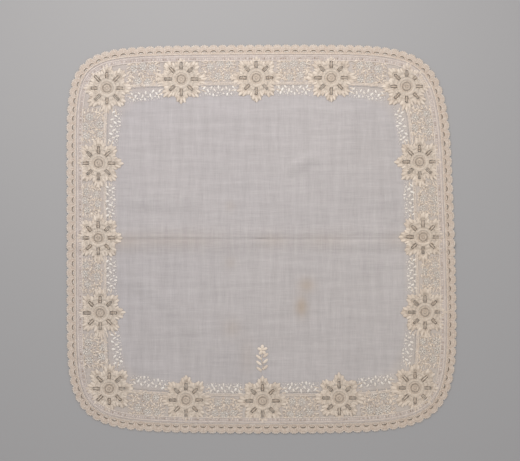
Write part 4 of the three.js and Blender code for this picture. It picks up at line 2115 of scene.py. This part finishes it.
@dataclass
class LaceEdging:
    """A narrow scalloped lace, sewn all round the hem with its ends joined."""

    scallops: int = 156
    depth: float = 8.6
    cut_width: float = 10.0
    scallop_depth: float = 2.0
    scallop_power: float = 2.4
    scallop_share: float = 0.96
    overhang: float = 0.9
    hole_width: float = 6.4
    hole_height: float = 2.4
    hole_depth: float = 6.4
    bottom: float = 0.36
    thickness: float = 0.3
    inner_rings: tuple[float, ...] = (3.2, 5.8)
    arch_points: int = 9
    steps: int = 8
    seed: int = 5

    arch_strand: Stitch = Stitch(STRAND, z=0.72, length=1.5, width=0.8, height=0.55)
    fan_strand: Stitch = Stitch(STRAND, z=0.7, width=0.55, height=0.42)
    fan_strands: int = 11
    edge_strand: Stitch = Stitch(STRAND, z=0.74, length=1.3, width=0.75, height=0.6)
    edge_strands: int = 9
    picot: Stitch = Stitch(PICOT, z=0.66, height=0.9)
    picots: int = 5
    hole_strand: Stitch = Stitch(STRAND, z=0.62, width=0.72, height=0.45)
    hole_strands: int = 7
    hole_reach: float = 2.1
    # The brown strands round the inside of each hole are painted shade for its dark crescent.
    inner_strand: Stitch = Stitch(STRAND, z=0.66, length=1.4, width=0.85, height=0.4, shades=DARKEST_SHADE)
    bar: Stitch = Stitch(STRAND, z=0.68, length=1.3, width=0.5, height=0.42)
    bars: tuple[float, ...] = (-0.42, -0.25, 0.25, 0.42)
    footing: Stitch = Stitch(STRAND, z=0.74, width=0.62, height=0.55)
    footings: int = 5
    footing_insets: tuple[float, float] = (0.95, 0.25)

    @property
    def pitch(self) -> float:
        """The length of one scallop."""
        return EDGE.length / self.scallops

    @property
    def middles(self) -> Points:
        """How far along the edge the middle of each scallop lies."""
        return (np.arange(self.scallops) + 0.5) * self.pitch

    def lay_flat(self, points: Points) -> Points:
        """Lays points, along and inwards, in their place round the cloth, without its unevenness."""
        return np.column_stack([EDGE.at(points[:, 0], points[:, 1]), points[:, 2]])

    def lay(self, points: Points) -> Points:
        """Lays points, along and inwards, in their place round the cloth."""
        return UNEVENNESS.lift(self.lay_flat(points))

    def rim(self, along: Points) -> Points:
        """How far the outer edge is drawn in, at places along it."""
        offset = np.abs(np.mod(along / self.pitch, 1) - 0.5) * 2
        return self.scallop_depth * np.clip(offset, 0, 1) ** self.scallop_power - self.overhang

    def arch(self, spare: float = 0.0) -> Points:
        """The outline of one arched hole, about its middle.

        Args:
            spare: How far outside the hole it runs.

        Returns:
            Its points, anticlockwise once they are laid, one row each.
        """
        turns = np.linspace(0, math.pi, self.arch_points)
        half = self.hole_width / 2 + spare
        height = self.hole_height + spare
        return np.stack([-half * np.cos(turns), self.hole_depth - height * np.sin(turns)], axis=1)

    def net(self) -> Piece:
        """Makes the close ground of the lace, with an arched hole in each scallop.

        Returns:
            The ground, on the cloth.
        """
        steps = self.scallops * self.steps
        along = np.arange(steps) * EDGE.length / steps
        rings = [EDGE.at(along, self.rim(along))]
        rings += [EDGE.at(along, np.full(steps, depth)) for depth in (*self.inner_rings, self.depth)]
        flat = laid_piece("lace_net", band_of(rings, self.bottom, self.thickness), unmoved)
        cutter = Needlework("lace_holes")
        cutter.sew(prism(self.arch()), self.middles, 0)
        net = pierced(flat, cutter.finish(self.lay_flat))
        lay_on_swells(net.data)
        return net

    def threads(self) -> Needlework:
        """Works the threads of every scallop.

        Returns:
            The needlework, along and inwards.
        """
        work = Needlework("lace_threads", self.seed)
        self._work_arch(work)
        self._work_edge(work)
        self._work_hole(work)
        bars = np.array(self.bars) * self.pitch
        lean = math.pi / 2 + 0.35 * np.array([1, -1, 1, -1])
        self._repeat(work, self.bar, bars, self.hole_depth + 0.45, lean)
        footings = (np.arange(self.footings) + 0.5) / self.footings * self.pitch - self.pitch / 2
        length = self.pitch / self.footings * 1.5
        for inset in self.footing_insets:
            self._repeat(work, self.footing, footings, self.depth - inset, 0.14, length)
        return work

    def _work_arch(self, work: Needlework) -> None:
        """Works the cord over each hole, and the strands that fan out from it to the rim.

        Args:
            work: The needlework they belong to.
        """
        arch = self.arch(0.35)
        x, y, turn = walk(arch, 8)
        self._repeat(work, self.arch_strand, x, y, turn + 0.3)
        fan = np.linspace(-0.44, 0.44, self.fan_strands) * self.pitch
        left = arch[: self.arch_points // 2 + 1][::-1]
        inner = np.interp(np.abs(fan), np.abs(left[:, 0]), left[:, 1], right=self.hole_depth - 0.6)
        outer = self.rim(fan + self.pitch / 2) + 0.3
        lean = fan * 0.03 - math.pi / 2
        self._repeat(work, self.fan_strand, fan, (inner + outer) / 2, lean, inner - outer + 0.6)

    def _work_edge(self, work: Needlework) -> None:
        """Works the edge of each scallop, and the picots on it.

        Args:
            work: The needlework they belong to.
        """
        edge = np.linspace(-0.5, 0.5, self.edge_strands, endpoint=False) * self.pitch
        edge = edge + self.pitch / (2 * self.edge_strands)
        self._repeat(work, self.edge_strand, edge, self.rim(edge + self.pitch / 2) + 0.5, 0.2)
        picots = np.linspace(-0.36, 0.36, self.picots) * self.pitch
        self._repeat(work, self.picot, picots, self.rim(picots + self.pitch / 2) - 0.25)

    def _work_hole(self, work: Needlework) -> None:
        """Works the strands that half fill each hole, and the brown ones round its inside, which are painted
        shade.

        Args:
            work: The needlework they belong to.
        """
        fill = np.linspace(-self.hole_reach, self.hole_reach, self.hole_strands)
        arched = np.sqrt(1 - (fill / 2.8) ** 2)
        tops = self.hole_depth - (self.hole_height - 1.0) * arched
        foot = self.hole_depth + 0.5
        self._repeat(work, self.hole_strand, fill, (tops + foot) / 2, math.pi / 2, foot - tops)
        self._repeat(work, self.inner_strand, *walk(self.arch(-0.3), 6))

    def _repeat(self, work: Needlework, stitch: Stitch, x: Numbers, y: Numbers, turn: Numbers = 0.0,
                length: Numbers | None = None) -> None:
        """Sets the same stitches down in every scallop.

        Args:
            work: The needlework they belong to.
            stitch: The kind of stitch.
            x: Where each goes, along from the scallop's middle.
            y: Where it goes, inwards.
            turn: Its direction, in radians.
            length: Its length, where it isn't the stitch's own.
        """
        length = stitch.length if length is None else length
        x, *rest = np.broadcast_arrays(*np.atleast_1d(x, y, turn, length))
        along = (self.middles[:, None] + x[None, :]).ravel()
        work.sew(stitch, along, *[np.tile(values, self.scallops) for values in rest])

    def build(self, ground: Finish, thread: Finish) -> list[Piece]:
        """Makes the lace.

        Args:
            ground: The material of its close ground.
            thread: Its thread.

        Returns:
            The ground, in the place of its solid, and the threads.
        """
        net = dress(self.net(), ground)
        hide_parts(LACE_NODE)
        threads = dress(self.threads().finish(self.lay), thread)
        return [net, threads]

    def declare(self, piece: Piece, linen: Piece,
                worked: Sequence[Piece]) -> None:
        """Works out the area of the lace's cut, and does nothing more with it.

        Args:
            piece: The ground of the lace; not used.
            linen: The cloth that it rests on; not used.
            worked: What is worked on it; not used.
        """
        area = self.depth * EDGE.length * MM**2 * self.scallop_share


# The surface, the light and the camera


@dataclass
class Studio:
    """The plain surface that the cloth lies on, soft light from its upper left, and a camera overhead.

    Its sizes are in metres.
    """

    floor_size: float = 12.0
    frame_width: float = 0.532
    aim: tuple[float, float] = (-0.0015, 0.0089)
    lens: float = 90.0
    sensor: float = 36.0
    nearest: float = 0.05
    farthest: float = 10.0
    lamp_place: tuple[float, float, float] = (-0.085, 0.429, 0.588)
    lamp_size: float = 0.3
    lamp_power: float = 2.39
    lamp_tint: tuple[float, float, float] = (1.0, 0.985, 0.97)
    sky_tint: Colour = (0.985, 0.99, 1.0, 1.0)
    sky: float = 0.568

    def build(self) -> None:
        """Sets all of it up."""
        bm = bmesh.new()
        bmesh.ops.create_grid(bm, x_segments=8, y_segments=8, size=self.floor_size / 2)
        mesh = bpy.data.meshes.new("floor")
        bm.to_mesh(mesh)
        bm.free()
        mesh.materials.append(FloorFinish().build())
        piece_of(mesh)
        self._light()
        self._camera()

    def _light(self) -> None:
        """One soft lamp and an even sky."""
        lamp = bpy.data.lights.new("soft_lamp", "AREA")
        lamp.shape = "DISK"
        lamp.size = self.lamp_size
        lamp.energy = self.lamp_power
        lamp.color = self.lamp_tint
        holder = bpy.data.objects.new("soft_lamp", lamp)
        holder.location = self.lamp_place
        holder.rotation_euler = (-Vector(self.lamp_place)).to_track_quat("-Z", "Y").to_euler()
        bpy.context.scene.collection.objects.link(holder)
        world = bpy.data.worlds.new("sky")
        world.use_nodes = True
        background = world.node_tree.nodes["Background"]
        background.inputs["Color"].default_value = self.sky_tint
        background.inputs["Strength"].default_value = self.sky
        bpy.context.scene.world = world

    def _camera(self) -> None:
        """A long lens, straight above."""
        camera = bpy.data.cameras.new("overhead")
        camera.sensor_width = self.sensor
        camera.lens = self.lens
        camera.clip_start = self.nearest
        camera.clip_end = self.farthest
        holder = bpy.data.objects.new("overhead", camera)
        holder.location = (*self.aim, self.frame_width * self.lens / self.sensor)
        bpy.context.scene.collection.objects.link(holder)
        bpy.context.scene.camera = holder
        bpy.context.scene.view_settings.view_transform = "Standard"


# The whole handkerchief


@dataclass(frozen=True)
class MedallionPlace:
    """The middle of a medallion, and the direction of the lobe that faces the cloth's middle, in degrees."""

    x: float
    y: float
    facing: float


MEDALLION_PLACES = (
    MedallionPlace(-156.4, 153.7, -45), MedallionPlace(-80.4, 162.9, -90), MedallionPlace(-3.7, 164.2, -90),
    MedallionPlace(73.0, 164.2, -90), MedallionPlace(150.1, 155.4, -135), MedallionPlace(163.4, 78.3, 180),
    MedallionPlace(166.9, 1.5, 180), MedallionPlace(168.9, -75.5, 180), MedallionPlace(158.7, -152.9, 135),
    MedallionPlace(81.2, -163.2, 90), MedallionPlace(2.8, -166.2, 90), MedallionPlace(-75.6, -165.2, 90),
    MedallionPlace(-154.1, -153.6, 45), MedallionPlace(-163.3, -76.2, 0), MedallionPlace(-165.3, 0.5, 0),
    MedallionPlace(-165.0, 76.9, 0),
)


def medallions() -> list[Medallion]:
    """The medallions, clockwise from the upper left corner."""
    left, down = EDGE.centre
    return [
        Medallion(f"medallion_{k + 1}", place.x - left, place.y - down, math.radians(place.facing), k + 1)
        for k, place in enumerate(MEDALLION_PLACES)
    ]


def stretches(flowers: Sequence[Medallion]) -> list[Stretch]:
    """The stretches of border from each medallion's clockwise neighbour back to it.

    Args:
        flowers: The medallions, clockwise.

    Returns:
        One stretch for each of them.
    """
    middles = [np.array([flower.x, flower.y]) for flower in flowers]
    return [Stretch(after, here) for here, after in zip(middles, middles[1:] + middles[:1])]


def main() -> None:
    """Builds the handkerchief and the studio round it."""
    logging.basicConfig(level=logging.INFO, format="%(name)s: %(message)s")
    linen = LinenFinish("sheer_linen").build()
    hem_linen = LinenFinish("doubled_linen", colour(244, 232, 225), colour(225, 212, 204), cover=0.7).build()
    cream = ThreadFinish("cream_thread", colour(248, 237, 225), colour(218, 204, 191)).build()
    white = ThreadFinish("white_thread", colour(252, 249, 245), colour(236, 229, 222), gloss=0.5).build()
    pale = ThreadFinish("pale_thread", colour(252, 243, 236), colour(230, 219, 210)).build()
    lace_thread = ThreadFinish("lace_thread", colour(254, 247, 240), colour(235, 221, 209)).build()
    lace_ground = ThreadFinish("lace_ground", colour(224, 208, 197), colour(198, 181, 168)).build()

    ground = LinenGround()
    trim = LaceEdging()
    flowers = medallions()
    gaps = stretches(flowers)
    sprays = [Interval(f"spray_{k + 1}", gap, SPRAYS[k % len(SPRAYS)], 100 + k) for k, gap in enumerate(gaps)]
    lines = [DoubleLine(f"double_line_{k + 1}", gap, 200 + k) for k, gap in enumerate(gaps)]

    sheet = ground.build([*flowers, *sprays, *lines], linen)
    sewn = Hem().build(hem_linen, pale)
    for flower in flowers:
        sewn += flower.build(cream)
    for spray in sprays:
        sewn += spray.build(cream, white)
    sewn += [line.build(pale) for line in lines]
    sewn.append(Sprig().build(cream))
    net, *threads = trim.build(lace_ground, lace_thread)
    ground.declare(sheet, sewn)
    trim.declare(net, sheet, threads)
    Studio().build()
    log.info("the handkerchief has %d pieces", len([sheet, net, *sewn, *threads]))


if __name__ == "__main__":
    main()
